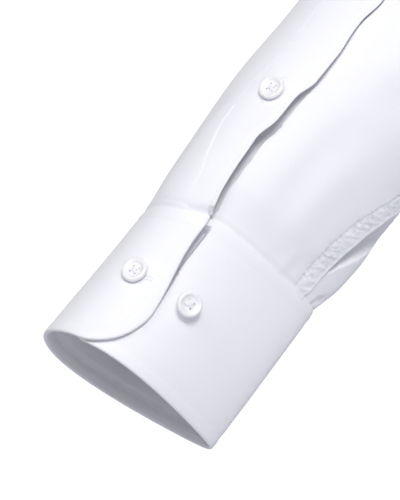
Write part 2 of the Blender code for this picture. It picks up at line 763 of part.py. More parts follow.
def add_underlap(side, material):
    """The narrow strip on the slit's other edge, under the placket; it carries the button."""
    across = (SLIT_INNER + GAP + UNDERLAP, SLIT_INNER + GAP + UNDERLAP / 2, SLIT_INNER + GAP)
    angles, alongs = placket_grid(across, SLIT_LENGTH - 2 * MM)
    out = sleeve_normal(angles, alongs)
    out[0] = seam_square(out[0])
    sunk = GAP + SLEEVE_INSET * ramp(SLEEVE - alongs, 0.030, 0)
    outer = sleeve(angles, alongs) - out * sunk[..., None]
    outer[0] -= DOWN_ARM * GAP
    name = "underlap_left" if side > 0 else "underlap_right"
    return add_wall(name, mirrored(outer, side), mirrored(outer - out * CLOTH, side), material)


CUFF_ROWS = (0, 3, 9, 20, 45, 71)
CUFF_STEP = math.radians(13)
UNDER_TURN = math.radians(-230)  # past this, the cuff runs in under its own lapped end


def cuff_ends(up):
    """Arm angles of the cuff's lapped edge and of its under edge, rounded at the mouth corners."""
    short = max(CUFF_CORNER - up, 0)
    cut = CUFF_CORNER - math.sqrt(CUFF_CORNER**2 - short**2)
    radius = SECTIONS[-1].half_width
    flare = CUFF_FLARE * ramp(CUFF - up, 0, 0.050)
    edge = placket_edge(np.array([0.0]))[0] + (flare - cut) / radius
    under = placket_edge(np.array([0.0]))[0] - 2 * math.pi - (CUFF_LAP - cut) / radius
    return edge, under


def add_cuff(side, material):
    """One strip round the wrist: from its lapped edge round and in under itself."""
    steps = int((2 * math.pi + CUFF_LAP / SECTIONS[-1].half_width) / CUFF_STEP)
    share = np.linspace(0, 1, steps + 1)
    ups = np.array(CUFF_ROWS) * MM
    ends = [cuff_ends(up) for up in ups]
    angles = np.array([edge + (under - edge) * share for edge, under in ends])
    alongs = np.repeat(SLEEVE + CUFF - ups[:, None], steps + 1, axis=1)
    lift = lap_lift(np.maximum(angles, -2 * math.pi), np.zeros_like(angles))
    lift = np.where(angles < UNDER_TURN, 0, lift)
    cuff_alongs = np.maximum(alongs, SLEEVE + 0.01 * MM)
    out = sleeve_normal(angles, cuff_alongs)
    out[-1] = seam_square(out[-1])
    outer = section(angles, cuff_alongs) + out * lift[..., None]
    name = "cuff_left" if side > 0 else "cuff_right"
    return add_wall(name, mirrored(outer, side), mirrored(outer - out * INTERLINED, side), material)


# ---------------------------------------------------------------- buttons

BUTTON_SIDES = 12
HOLE_RADIUS = 0.8 * MM
HOLE_REACH = 1.45 * MM
HOLE_SIDES = 4


def add_button(name, place, out, across, material):
    """A turned four-hole button lying on `place`, its face along `out`."""
    radius = BUTTON / 2
    profile = (
        (0.80 * radius, 0.0),
        (radius, 0.35 * BUTTON_THICK),
        (0.97 * radius, 0.85 * BUTTON_THICK),
        (0.80 * radius, BUTTON_THICK),
        (0.62 * radius, 0.72 * BUTTON_THICK),
    )
    turn = np.arange(BUTTON_SIDES) * 2 * math.pi / BUTTON_SIDES
    work = bmesh.new()
    rings = []
    for r, z in profile:
        rings.append([work.verts.new((r * math.cos(t), r * math.sin(t), z)) for t in turn])
    for low, high in zip(rings, rings[1:]):
        for i in range(BUTTON_SIDES):
            n = (i + 1) % BUTTON_SIDES
            work.faces.new((low[i], low[n], high[n], high[i]))
    work.faces.new(list(reversed(rings[0])))
    work.faces.new(rings[-1])
    mesh = bpy.data.meshes.new(name)
    work.to_mesh(mesh)
    work.free()
    mesh.materials.append(material)
    across = unit(across - out * np.dot(across, out))
    frame = np.eye(4)
    frame[:3, 0], frame[:3, 1], frame[:3, 2] = across, np.cross(out, across), out
    frame[:3, 3] = place + out * GAP
    button = bpy.data.objects.new(name, mesh)
    bpy.context.scene.collection.objects.link(button)
    button.matrix_world = Matrix([list(row) for row in frame])
    for number, degrees in enumerate((45, 135, 225, 315), 1):
        cutter = hole_cutter(f"{name}_hole_{number}", math.radians(degrees))
        cutter.parent = button
        cut = button.modifiers.new("hole", "BOOLEAN")
        cut.operation = "DIFFERENCE"
        cut.object = cutter
    return button


def hole_cutter(name, turn):
    """A prism through one of a button's holes, in the button's own frame."""
    work = bmesh.new()
    bmesh.ops.create_cone(
        work,
        cap_ends=True,
        segments=HOLE_SIDES,
        radius1=HOLE_RADIUS,
        radius2=HOLE_RADIUS,
        depth=3 * BUTTON_THICK,
    )
    reach = HOLE_REACH * math.sqrt(2)
    bmesh.ops.translate(work, verts=work.verts, vec=(reach * math.cos(turn), reach * math.sin(turn), 0))
    mesh = bpy.data.meshes.new(name)
    work.to_mesh(mesh)
    work.free()
    cutter = bpy.data.objects.new(name, mesh)
    cutter.hide_render = True
    cutter.display_type = "WIRE"
    bpy.context.scene.collection.objects.link(cutter)
    return cutter


FIRST_BUTTON_Z = -0.122
BUTTON_SPACING = 0.090
FRONT_BUTTONS = 7
CENTRE_STEPS = 400
STAND_BUTTON_UP = 0.45  # of the stand's height
GAUNTLET_UP = 56.0 * MM
GAUNTLET_IN = 10.5 * MM
CUFF_BUTTON_UP = 35.5 * MM
FIRST_CUFF_BUTTON = -47
SECOND_CUFF_BUTTON = -10


def centre_rise(z):
    """The rise at which the centre front has a height."""
    rises = np.linspace(HEM_FRONT, NECK, CENTRE_STEPS)
    return np.interp(z, column(RINGS, "front_z", rises, "rise"), rises)


def add_front_buttons(material):
    """Seven down the band on the centre line, and one on the collar stand."""
    zero = np.zeros(1)
    for number in range(FRONT_BUTTONS):
        rise = np.array([centre_rise(FIRST_BUTTON_Z - BUTTON_SPACING * number)])
        out = torso_normal(zero, rise)[0]
        place = torso(zero, rise)[0] + out * (2 * CLOTH + 2 * GAP + CLEAR)
        add_button(f"button_front_{number + 1}", place, out, np.array([1.0, 0, 0]), material)
    up = np.array([STAND_BUTTON_UP])
    place = stand_point(zero, up, np.array([INTERLINED + 2 * GAP]))[0] + np.array([0, 0, SEAM_RISE])
    out = unit(np.array([0, -1.0, -0.08]))
    add_button("button_collar", place, out, np.array([1.0, 0, 0]), material)


def add_sleeve_buttons(side, material):
    name = "left" if side > 0 else "right"
    flip = np.array([side, 1, 1])
    up = np.array([GAUNTLET_UP])
    angle = placket_turn(up, GAUNTLET_IN)
    out = sleeve_normal(angle, SLEEVE - up)[0]
    lift = lap_lift(np.full(1, -1.0), up)[0] + 2 * GAP + CLOTH + free_edge_lift(angle, up)[0]
    place = sleeve(angle, SLEEVE - up)[0] + out * lift
    add_button(f"button_gauntlet_{name}", place * flip, out * flip, DOWN_ARM * flip, material)
    along = np.array([SLEEVE + CUFF - CUFF_BUTTON_UP])
    for number, degrees in ((1, FIRST_CUFF_BUTTON), (2, SECOND_CUFF_BUTTON)):
        angle = np.radians([float(degrees)])
        out = sleeve_normal(angle, along)[0]
        lift = lap_lift(angle, np.zeros(1))[0] if number == 1 else 0
        place = section(angle, along)[0] + out * (lift + CLEAR)
        add_button(f"button_cuff_{name}_{number}", place * flip, out * flip, DOWN_ARM * flip, material)


def main():
    for old in list(bpy.data.objects):
        bpy.data.objects.remove(old)
    shirting = cloth_material("white poplin", WHITE, 0.85)
    interlined = cloth_material("interlined white poplin", WHITE, 0.8)
    pearl = cloth_material("pearl resin", PEARL, 0.3)
    add_back(shirting)
    add_yoke(shirting)
    add_front_band(shirting)
    add_stand(interlined)
    add_collar(interlined)
    for side in (1, -1):
        add_front(side, shirting)
        add_sleeve(side, shirting)
        add_placket(side, shirting)
        add_underlap(side, shirting)
        add_cuff(side, interlined)
        add_sleeve_buttons(side, pearl)
    add_front_buttons(pearl)


main()
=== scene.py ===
"""A man's long sleeve dress shirt of white poplin, buttoned and filled out as if worn.

Metres, +Z up, the front facing -Y, so +X is the wearer's left. The origin is where the wearer's
shoulders carry the shirt, midway between the two sides of the neck.
"""

import math
from collections import namedtuple

import bmesh
import bpy
import numpy as np
from mathutils import Matrix, Vector


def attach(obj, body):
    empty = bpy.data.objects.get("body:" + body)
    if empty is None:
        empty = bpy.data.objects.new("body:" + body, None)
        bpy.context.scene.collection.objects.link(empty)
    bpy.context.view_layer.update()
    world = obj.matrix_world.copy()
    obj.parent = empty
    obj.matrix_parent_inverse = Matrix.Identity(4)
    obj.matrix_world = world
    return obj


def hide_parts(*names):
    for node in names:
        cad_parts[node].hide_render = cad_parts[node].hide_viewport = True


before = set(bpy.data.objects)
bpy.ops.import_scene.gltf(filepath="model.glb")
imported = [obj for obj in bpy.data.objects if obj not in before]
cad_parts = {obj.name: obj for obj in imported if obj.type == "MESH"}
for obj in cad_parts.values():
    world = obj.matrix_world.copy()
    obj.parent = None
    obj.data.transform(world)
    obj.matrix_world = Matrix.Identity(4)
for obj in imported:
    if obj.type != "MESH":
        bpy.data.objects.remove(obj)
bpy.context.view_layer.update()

# ------------------------------------------------------------------------------------ the back
# One panel of white cotton poplin from the yoke seam down to the curved hem, which is turned up
# twice and stitched. Its sides are felled to the fronts. Filled out, it falls in soft flutes.

MM = 0.001
GAP = 0.3 * MM
CLOTH = 0.7 * MM
HEM_SIDE, HEM_FRONT, HEM_BACK = -0.690, -0.765, -0.785
HEM_TURNED = 6.5 * MM
HIP, UNDERARM, SHOULDER_END, NECK = -0.600, -0.250, -0.045, 0.115
FELL = 7.0 * MM
ARMHOLE_TURN = math.radians(10)
SCOOP_FRONT, SCOOP_BACK = math.radians(30), math.radians(25)
HEM_ROWS, SIDE_ROWS, ARMHOLE_ROWS, YOKE_ROW, BACK_COLUMNS = 36, 72, 60, 42, 112
ON_CLOTH = 0.05 * MM  # how far stitches stand on a single panel


def table(columns, *rows):
    """A table with named columns. The first one after any name is what it is read by."""
    kind = namedtuple("Row", columns)
    return [kind(*row) for row in rows]


# Rings of the body by rise, which is height measured up the cloth: the heights that a ring has at
# the side, in front and behind, its half width and depths, and how square it is.
RINGS = table(
    "name rise side_z front_z back_z half_width front_depth back_depth centre_y square",
    ("below hem", -0.800, -0.800, -0.800, -0.800, 0.238, 0.130, 0.134, 0.000, 2.2),
    ("hip", -0.620, -0.620, -0.620, -0.620, 0.228, 0.126, 0.128, 0.000, 2.2),
    ("waist", -0.430, -0.430, -0.430, -0.430, 0.210, 0.119, 0.110, 0.000, 2.3),
    ("chest", -0.250, -0.250, -0.250, -0.250, 0.222, 0.128, 0.112, 0.000, 2.4),
    ("upper", -0.150, -0.148, -0.175, -0.150, 0.222, 0.124, 0.112, 0.000, 2.4),
    ("shoulder", -0.055, -0.052, -0.118, -0.062, 0.221, 0.112, 0.098, 0.002, 2.3),
    ("slope", 0.030, -0.024, -0.088, -0.018, 0.142, 0.092, 0.078, 0.000, 2.1),
    ("neck", NECK, 0.004, -0.062, 0.010, 0.060, 0.063, 0.058, -0.003, 2.0),
)
# Flutes by degrees round the body. Each starts at one rise and is full at another.
FLUTES = table(
    "name angle width depth start full",
    ("left front flute", 58, 13, 7 * MM, -0.380, -0.700),
    ("left front hollow", 34, 12, -5 * MM, -0.420, -0.720),
    ("right front flute", -52, 14, 6 * MM, -0.400, -0.700),
    ("right front hollow", -30, 11, -4 * MM, -0.450, -0.720),
    ("left back flute", 128, 13, 8 * MM, -0.330, -0.700),
    ("back hollow", 156, 13, -6 * MM, -0.300, -0.680),
    ("right back flute", 228, 14, 7 * MM, -0.360, -0.700),
    ("right back hollow", 206, 11, -5 * MM, -0.350, -0.690),
)
# Creases run from (x0, y0) to (x1, y1): degrees round the body, and rise in millimetres. Their
# widths and heights are in millimetres too.
CREASE = "name x0 y0 x1 y1 width height"
BODY_CREASES = table(
    CREASE,
    ("left underarm drag", 74, -268, 46, -352, 9, 4.2),
    ("left underarm hollow", 62, -262, 38, -318, 8, -3.4),
    ("left chest pull", 40, -175, 20, -215, 12, 2.5),
    ("left waist break", 84, -430, 50, -408, 9, 3.6),
    ("left waist hollow", 76, -452, 40, -440, 8, -3.0),
    ("right underarm drag", -72, -262, -48, -338, 9, 3.8),
    ("right underarm hollow", -60, -270, -36, -330, 9, -3.2),
    ("right chest pull", -36, -168, -18, -200, 11, 2.3),
    ("right waist break", -80, -410, -44, -432, 10, 3.8),
    ("right waist hollow", -86, -438, -56, -462, 8, -2.8),
    ("left blade fold", 118, -205, 132, -330, 12, 4.2),
    ("left blade hollow", 108, -230, 120, -320, 10, -3.4),
    ("right blade fold", 246, -190, 232, -300, 12, 3.8),
    ("right blade hollow", 256, -225, 242, -330, 10, -3.2),
    ("small of back fold", 150, -412, 192, -436, 12, 2.6),
    ("small of back hollow", 162, -440, 208, -462, 10, -2.4),
    ("left blade pull", 138, -122, 156, -215, 8, 3.4),
    ("right blade pull", 224, -108, 208, -186, 7, 3.2),
    ("left back drag", 110, -398, 148, -346, 7, 4.4),
    ("left back drag hollow", 106, -420, 142, -374, 6, -3.6),
    ("right back drag", 252, -384, 214, -336, 7, 4.6),
    ("right back drag hollow", 256, -404, 222, -360, 6, -3.8),
    ("left hip fold", 98, -520, 122, -560, 10, 3.4),
    ("right hip fold", 262, -500, 240, -548, 10, 3.2),
    ("front hip fold", 26, -560, 48, -610, 10, 3.0),
    ("front right hip fold", -24, -575, -52, -600, 9, 2.8),
)
DEGREE_ROUND_BODY = 3.9  # millimetres


def eased(at, places, values):
    """A smooth monotone curve through (place, value) pairs, read at `at`."""
    places, values = np.asarray(places, float), np.asarray(values, float)
    step = np.diff(places)
    slope = np.diff(values) / step
    total = slope[:-1] + slope[1:]
    both = slope[:-1] * slope[1:]
    inner = np.where(both > 0, 2 * both / np.where(total == 0, 1, total), 0)
    bend = np.concatenate([[slope[0]], inner, [slope[-1]]])
    at = np.clip(at, places[0], places[-1])
    i = np.clip(np.searchsorted(places, at, side="right") - 1, 0, len(step) - 1)
    t = (at - places[i]) / step[i]
    start = values[i] * (1 + 2 * t) * (1 - t) ** 2 + bend[i] * step[i] * t * (1 - t) ** 2
    return start + values[i + 1] * t**2 * (3 - 2 * t) + bend[i + 1] * step[i] * t**2 * (t - 1)


def column(rows, name, at):
    """A column of a table, read smoothly at places in the column that it is read by."""
    by = next(field for field in rows[0]._fields if field != "name")
    return eased(at, [getattr(row, by) for row in rows], [getattr(row, name) for row in rows])


def ramp(x, low, high):
    """0 below low, 1 above high, smooth between. Low may be the larger."""
    t = np.clip((x - low) / (high - low), 0, 1)
    return t * t * (3 - 2 * t)


def bump(x, centre, width):
    return np.exp(-(((x - centre) / width) ** 2))


def within(angle, turn=2 * math.pi):
    """An angle brought to within half a turn of 0."""
    return (angle + turn / 2) % turn - turn / 2


def unit(v):
    return v / np.maximum(np.linalg.norm(v, axis=-1, keepdims=True), 1e-12)


def normals(surface, a, b, step=1e-4):
    """Outward unit normals of surface(a, b), where a turns anticlockwise seen from b's far end."""
    along_a = surface(a + step, b) - surface(a - step, b)
    along_b = surface(a, b + step) - surface(a, b - step)
    return unit(np.cross(along_a, along_b))


def creased(creases, x, y, millimetres_of_x):
    """The height in millimetres of all the creases of a table at (x, y)."""
    out = np.zeros(np.broadcast(x, y).shape)
    for crease in creases:
        run_x, run_y = (crease.x1 - crease.x0) * millimetres_of_x, crease.y1 - crease.y0
        length = math.hypot(run_x, run_y)
        dx, dy = within(x - crease.x0, 360) * millimetres_of_x, y - crease.y0
        along = (dx * run_x + dy * run_y) / length**2
        off = (dx * run_y - dy * run_x) / length + crease.width * 0.5 * np.sin(2.4 * along)
        taper = ramp(along, -0.25, 0.3) * ramp(along, 1.3, 0.6)
        out += crease.height * bump(off, 0, crease.width) * taper
    return out


def puckers(place, seed, spacing):
    """Uneven ripples along a seam, between about -1 and 1, at a place in millimetres."""
    before, count = 60, 400
    chance = np.random.default_rng(seed)
    centres = np.cumsum(spacing * chance.uniform(0.55, 1.5, count)) - before
    heights = chance.uniform(0.35, 1.0, count) * np.where(np.arange(count) % 2 == 0, 1, -1)
    wide = spacing * chance.uniform(0.3, 0.55, count)
    at = np.arange(-before, centres[-1], 0.25)
    level = np.zeros(len(at))
    for centre, height, width in zip(centres, heights, wide):
        near = slice(*np.searchsorted(at, [centre - 3 * width, centre + 3 * width]))
        level[near] += height * bump(at[near], centre, width)
    return np.interp(place, at, level)


def hem_rise(angle):
    """The shirt-tail hem: high at the side seams, low in front and behind."""
    low = np.where(np.cos(angle) > 0, HEM_FRONT, HEM_BACK)
    return HEM_SIDE + (low - HEM_SIDE) * np.abs(np.cos(angle)) ** 2


def torso(angle, rise):
    """A point of the body of the shirt. Angle 0 is centre front, and 90 degrees the wearer's left."""
    read = {name: column(RINGS, name, rise) for name in RINGS[0]._fields[2:]}
    s, c = np.sin(angle), np.cos(angle)
    spread = (np.abs(s) ** read["square"] + np.abs(c) ** read["square"]) ** (-1 / read["square"])
    depth = np.where(c > 0, read["front_depth"], read["back_depth"])
    end_z = np.where(c > 0, read["front_z"], read["back_z"])
    degrees = np.degrees(angle)
    out = 0
    for flute in FLUTES:
        turn = within(degrees - flute.angle, 360)
        out = out + flute.depth * bump(turn, 0, flute.width) * ramp(rise, flute.start, flute.full)
    out = out + MM * creased(BODY_CREASES, degrees, rise / MM, DEGREE_ROUND_BODY)
    # The felled side seam, just behind the side, is a low band with ripples beside it.
    behind_side = (np.abs(within(degrees, 360)) - 90) * DEGREE_ROUND_BODY * MM
    band = ramp(behind_side, -0.3 * MM, 0.5 * MM) * ramp(behind_side, FELL + 0.8 * MM, FELL)
    below_arm = ramp(rise, UNDERARM - 0.002, UNDERARM - 0.020)
    ripple = puckers(rise / MM + 900, 5, 11) * bump(behind_side, FELL / 2, 9 * MM)
    out = out + below_arm * (0.45 * MM * band + 0.55 * MM * ripple)
    over_hem = rise - hem_rise(angle)
    out = out + 0.4 * MM * ramp(over_hem, HEM_TURNED + 1.5 * MM, HEM_TURNED - 0.5 * MM)
    x = (read["half_width"] + out) * s * spread
    y = read["centre_y"] - (depth + out) * c * spread
    z = read["side_z"] + (end_z - read["side_z"]) * c**2
    return np.stack([x, y, z], axis=-1)


def torso_normal(angle, rise):
    return normals(torso, angle, rise)


def armhole_place(angle):
    """(torso angle, rise) of the armhole at an angle round the arm: 90 underneath, -90 on top."""
    up = (1 - np.sin(angle)) / 2
    scoop = np.where(np.cos(angle) > 0, SCOOP_BACK, SCOOP_FRONT)
    turn = math.pi / 2 - ARMHOLE_TURN * up**2 + scoop * np.cos(angle)
    return turn, UNDERARM + (SHOULDER_END - UNDERARM) * up


# Rows from the hip to just under the arm, closer together near the arm, and then across the armhole.
ROUND_ARMHOLE = np.radians(90 - np.linspace(0, 180, ARMHOLE_ROWS + 1))
SIDE_RISES = UNDERARM + (HIP - UNDERARM) * np.linspace(1, 0, SIDE_ROWS + 1)[:-1] ** 1.15
ARMHOLE_BACK, ARMHOLE_RISES = armhole_place(ROUND_ARMHOLE)
ARMHOLE_FRONT = armhole_place(math.pi - ROUND_ARMHOLE)[0]


def fanned(rises, middle):
    """Rows of rises over columns, given how close each is to the panel's middle. Rows that crowd
    together at the foot of the armhole spread out evenly towards the middle."""
    even = rises.copy()
    stop = min(SIDE_ROWS + ARMHOLE_ROWS, len(rises) - 1)
    step = (SHOULDER_END - UNDERARM) / ARMHOLE_ROWS
    even[SIDE_ROWS : stop + 1] = UNDERARM + step * np.arange(stop - SIDE_ROWS + 1)
    return rises[:, None] + (even - rises)[:, None] * middle


def with_hem(angles, rises):
    """Rows of (angle, rise) with the hem rows added under the first, closest at the hem."""
    share = (np.linspace(0, 1, HEM_ROWS + 1)[:-1, None]) ** 1.6
    hem = hem_rise(angles[0])
    hem_rows = hem + (rises[0] - hem) * share
    angles = np.concatenate([np.repeat(angles[:1], HEM_ROWS, axis=0), angles])
    return angles, np.concatenate([hem_rows, rises])


def flat_cut(points, closed):
    """The cloth laid flat: distance across from the middle, and distance along, for each point."""
    if closed:
        points = np.concatenate([points, points[:, :1]], axis=1)
    across = np.linalg.norm(np.diff(points, axis=1), axis=-1)
    u = np.concatenate([np.zeros((len(points), 1)), np.cumsum(across, axis=1)], axis=1)
    u = u - u[:, u.shape[1] // 2][:, None]
    along = np.linalg.norm(np.diff(points, axis=0), axis=-1).mean(axis=1)
    v = np.concatenate([[0], np.cumsum(along)])
    return np.stack([u, np.repeat(v[:, None], u.shape[1], axis=1)], axis=-1)


def mirrored(points, side):
    """Points of the left side as they are, or of the right side when side is -1."""
    return points * np.array([side, 1, 1])


def add_object(name, mesh):
    made = bpy.data.objects.new(name, mesh)
    bpy.context.scene.collection.objects.link(made)
    return made


def add_cloth(name, node, faces, material, sheet, side=1, closed=False, left_out=None, drawn=None):
    """A thin closed shell between two grids, rows by columns, with its flat cut as its UV map. It
    stands for a node. Sheet, its cut, is not used. Closed joins the last column to the first. Cells
    marked in left_out stay open. The last argument says, from 0 to 1, how much painted shade, for
    the shadows between a seam's puckers, the material lays on each point of the outer face."""
    outer, inner = [mirrored(face, side) for face in faces]
    rows, columns = outer.shape[:2]
    count = rows * columns
    cut = flat_cut(outer, closed)
    r, c = np.meshgrid(np.arange(rows - 1), np.arange(columns - (not closed)), indexing="ij")
    if left_out is not None:
        r, c = r[~left_out], c[~left_out]
    r, c = r.reshape(-1), c.reshape(-1)
    n = (c + 1) % columns
    top = (r + 1) * columns
    quads = np.stack([r * columns + c, r * columns + n, top + n, top + c], axis=1)
    places = np.stack([cut[r, c], cut[r, c + 1], cut[r + 1, c + 1], cut[r + 1, c]], axis=1)
    # Edges of only one quad are the rim, where a strip of quads joins the two faces.
    ends = np.concatenate([quads[:, [i, (i + 1) % 4]] for i in range(4)])
    end_places = np.concatenate([places[:, [i, (i + 1) % 4]] for i in range(4)])
    key = ends.min(axis=1) * count + ends.max(axis=1)
    index, times = np.unique(key, return_inverse=True, return_counts=True)[1:]
    free = times[index.reshape(-1)] == 1
    rim, rim_places = ends[free], end_places[free]
    rims = np.stack([rim[:, 1], rim[:, 0], rim[:, 0] + count, rim[:, 1] + count], axis=1)
    quads = np.concatenate([quads, quads[:, ::-1] + count, rims])
    uv = np.concatenate([places, places[:, ::-1], rim_places[:, [1, 0, 0, 1]]])
    points = np.concatenate([outer.reshape(-1, 3), inner.reshape(-1, 3)])
    used, quads = np.unique(quads, return_inverse=True)
    points, quads = points[used], quads.reshape(-1, 4)
    p = points[quads]
    volume = np.sum(np.cross(p[:, 0], p[:, 1]) * p[:, 2] + np.cross(p[:, 0], p[:, 2]) * p[:, 3])
    if volume < 0:
        quads, uv = quads[:, ::-1], uv[:, ::-1]
    mesh = bpy.data.meshes.new(name)
    mesh.from_pydata(points.tolist(), [], quads.tolist())
    # The painted shade of a gathered seam, kept on the outer face's points for the material to darken
    # its colour by.
    if drawn is not None:
        level = np.concatenate([drawn.ravel(), np.zeros(count)])[used].astype(np.float32)
        mesh.attributes.new("drawn", "FLOAT", "POINT").data.foreach_set("value", level)
    mesh.uv_layers.new(name="cut").data.foreach_set("uv", uv.astype(np.float32).ravel())
    mesh.shade_smooth()
    mesh.set_sharp_from_angle(angle=math.radians(50))
    mesh.materials.append(material)
    piece = add_object(name, mesh)
    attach(piece, "root")
    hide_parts(node)


def linear(code):
    """An sRGB hex colour as the linear values that a shader takes."""
    parts = [int(code[i : i + 2], 16) / 255 for i in (1, 3, 5)]
    return [x / 12.92 if x <= 0.04045 else ((x + 0.055) / 1.055) ** 2.4 for x in parts] + [1]


def add_node(tree, kind, inputs=None, **settings):
    """One node, with its settings. An input is a value, or the socket, or the node, that feeds it."""
    made = tree.nodes.new(kind)
    for name, value in settings.items():
        setattr(made, name, value)
    for name, value in (inputs or {}).items():
        if isinstance(value, bpy.types.Node):
            value = value.outputs[0]
        if isinstance(value, bpy.types.NodeSocket):
            tree.links.new(value, made.inputs[name])
        else:
            made.inputs[name].default_value = value
    return made


def new_material(name, finish):
    """A material, its node tree and its shader, with the shader's finish."""
    material = bpy.data.materials.new(name)
    material.use_nodes = True
    shader = material.node_tree.nodes["Principled BSDF"]
    for title, value in finish.items():
        shader.inputs[title].default_value = value
    return material, material.node_tree, shader


def poplin(name, roughness):
    """White cotton poplin, woven plain and close. The real threads are 0.2 mm apart, too fine to
    show, so the weave is set at 0.7 by 0.9 mm: it gives a faint matt grain, with a few slubs.
    Where a mesh marks a gathered seam, painted shade in flecks darkens its colour."""
    finish = {"Sheen Weight": 0.08, "Sheen Roughness": 0.5, "Specular IOR Level": 0.25}
    material, tree, shader = new_material(name, {"Roughness": roughness, **finish})
    place = add_node(tree, "ShaderNodeUVMap", uv_map="cut")
    apart = add_node(tree, "ShaderNodeSeparateXYZ", {"Vector": place})
    threads = []
    for axis, spacing in (("X", 0.7 * MM), ("Y", 0.9 * MM)):
        across = {0: apart.outputs[axis], 1: math.pi / spacing}
        turn = add_node(tree, "ShaderNodeMath", across, operation="MULTIPLY")
        threads.append(add_node(tree, "ShaderNodeMath", {0: turn}, operation="SINE"))
    weave = add_node(tree, "ShaderNodeMath", {0: threads[0], 1: threads[1]}, operation="MULTIPLY")
    slub_place = add_node(tree, "ShaderNodeMapping", {"Vector": place, "Scale": (1400, 160, 1)})
    slubs = add_node(tree, "ShaderNodeTexNoise", {"Vector": slub_place, "Scale": 1.0, "Detail": 3.0})
    woven = {0: slubs, 1: 1.2, 2: weave}
    height = add_node(tree, "ShaderNodeMath", woven, operation="MULTIPLY_ADD")
    relief = {"Height": height, "Strength": 0.16, "Distance": 0.05 * MM}
    tree.links.new(add_node(tree, "ShaderNodeBump", relief).outputs[0], shader.inputs["Normal"])
    white = linear("#F5F5FA")
    slubbed = {"Factor": slubs, 6: [x * 0.975 for x in white[:3]] + [1], 7: white}
    shade = add_node(tree, "ShaderNodeMix", slubbed, data_type="RGBA")
    # Painted shade: flecks of shadow, 1 to 2 mm long, from the finest puckers of a gathered seam,
    # painted into the colour where a mesh marks one.
    spot = add_node(tree, "ShaderNodeTexCoord").outputs["Object"]
    leaning = {"Vector": spot, "Rotation": (0, 0.9, 0), "Scale": (520, 520, 1150)}
    place = add_node(tree, "ShaderNodeMapping", leaning)
    fleck = add_node(tree, "ShaderNodeTexNoise", {"Vector": place, "Scale": 1.0, "Detail": 2.0})
    levels = {"From Min": 0.42, "From Max": 0.66, "To Min": 0.38, "To Max": 1.0}
    sharp = add_node(tree, "ShaderNodeMapRange", {"Value": fleck, **levels})
    drawn = add_node(tree, "ShaderNodeAttribute", attribute_name="drawn").outputs["Fac"]
    shadow = add_node(tree, "ShaderNodeMath", {0: drawn, 1: sharp}, operation="MULTIPLY")
    flecked = {"Factor": shadow, 6: shade.outputs[2], 7: linear("#D2D3DC")}
    shade = add_node(tree, "ShaderNodeMix", flecked, data_type="RGBA")
    tree.links.new(shade.outputs[2], shader.inputs["Base Color"])
    return material


def clouded(name, finish, dark, light, **grain):
    """A material whose colour wanders between two, with a grain in the object's own space."""
    material, tree, shader = new_material(name, finish)
    place = add_node(tree, "ShaderNodeTexCoord").outputs["Object"]
    cloud = add_node(tree, "ShaderNodeTexNoise", {"Vector": place, **grain})
    colours = {"Factor": cloud, 6: linear(dark), 7: linear(light)}
    shade = add_node(tree, "ShaderNodeMix", colours, data_type="RGBA")
    tree.links.new(shade.outputs[2], shader.inputs["Base Color"])
    return material


def stitch_tree():
    """Stitches laid along the edges of a mesh, each a short rounded bead of thread that follows the
    path and stands on the cloth. Turn lays them across the path, as in a buttonhole."""
    tree = bpy.data.node_groups.new("stitches along a seam", "GeometryNodeTree")
    sizes = [(name, "Float") for name in ("Pitch", "Length", "Width", "Height", "Turn")]
    for name, kind in [("Geometry", "Geometry"), *sizes, ("Thread", "Material")]:
        tree.interface.new_socket(name, in_out="INPUT", socket_type="NodeSocket" + kind)
    tree.interface.new_socket("Geometry", in_out="OUTPUT", socket_type="NodeSocketGeometry")
    enter = add_node(tree, "NodeGroupInput").outputs
    path = add_node(tree, "GeometryNodeMeshToCurve", {"Mesh": enter["Geometry"]})
    pitch = {"Curve": path, "Length": enter["Pitch"]}
    spaced = add_node(tree, "GeometryNodeResampleCurve", pitch, mode="LENGTH")
    tangent = add_node(tree, "GeometryNodeInputTangent")
    laid = add_node(tree, "FunctionNodeAlignRotationToVector", {"Vector": tangent}, axis="X")
    stand = add_node(
        tree, "GeometryNodeInputNamedAttribute", {"Name": "out"}, data_type="FLOAT_VECTOR"
    )
    upright = {"Rotation": laid, "Vector": stand}
    upright = add_node(
        tree, "FunctionNodeAlignRotationToVector", upright, axis="Z", pivot_axis="X"
    )
    turn = add_node(tree, "ShaderNodeCombineXYZ", {"Z": enter["Turn"]})
    turn = add_node(tree, "FunctionNodeEulerToRotation", {"Euler": turn})
    turned = {"Rotation": upright, "Rotate By": turn}
    turned = add_node(tree, "FunctionNodeRotateRotation", turned, rotation_space="LOCAL")
    bead = add_node(tree, "GeometryNodeMeshUVSphere", {"Segments": 5, "Rings": 3, "Radius": 0.5})
    size = {"X": enter["Height"], "Y": enter["Width"], "Z": enter["Length"]}
    size = add_node(tree, "ShaderNodeCombineXYZ", size)
    for change in ({"Scale": size}, {"Rotation": (0, math.pi / 2, 0)}):
        bead = add_node(tree, "GeometryNodeTransform", {"Geometry": bead, **change})
    uneven = {"Min": (0.88, 0.9, 0.85), "Max": (1.08, 1.1, 1.1), "Seed": 11}
    uneven = add_node(tree, "FunctionNodeRandomValue", uneven, data_type="FLOAT_VECTOR")
    placed = {"Points": spaced, "Instance": bead, "Rotation": turned, "Scale": uneven}
    placed = add_node(tree, "GeometryNodeInstanceOnPoints", placed)
    real = add_node(tree, "GeometryNodeRealizeInstances", {"Geometry": placed})
    soft = add_node(tree, "GeometryNodeSetShadeSmooth", {"Geometry": real})
    threaded = {"Geometry": soft, "Material": enter["Thread"]}
    painted = add_node(tree, "GeometryNodeSetMaterial", threaded)
    add_node(tree, "NodeGroupOutput", {"Geometry": painted})
    return tree


# Polyester sewing thread is spun and lightly glossy, a little brighter than the cloth.
SPUN = {"Roughness": 0.5, "Sheen Weight": 0.1}
THREAD = clouded("polyester sewing thread", SPUN, "#E9EAF1", "#F6F7FB", Scale=4000, Detail=1.0)
SHIRTING = poplin("plain woven cotton poplin", 0.82)
STITCHES = stitch_tree()


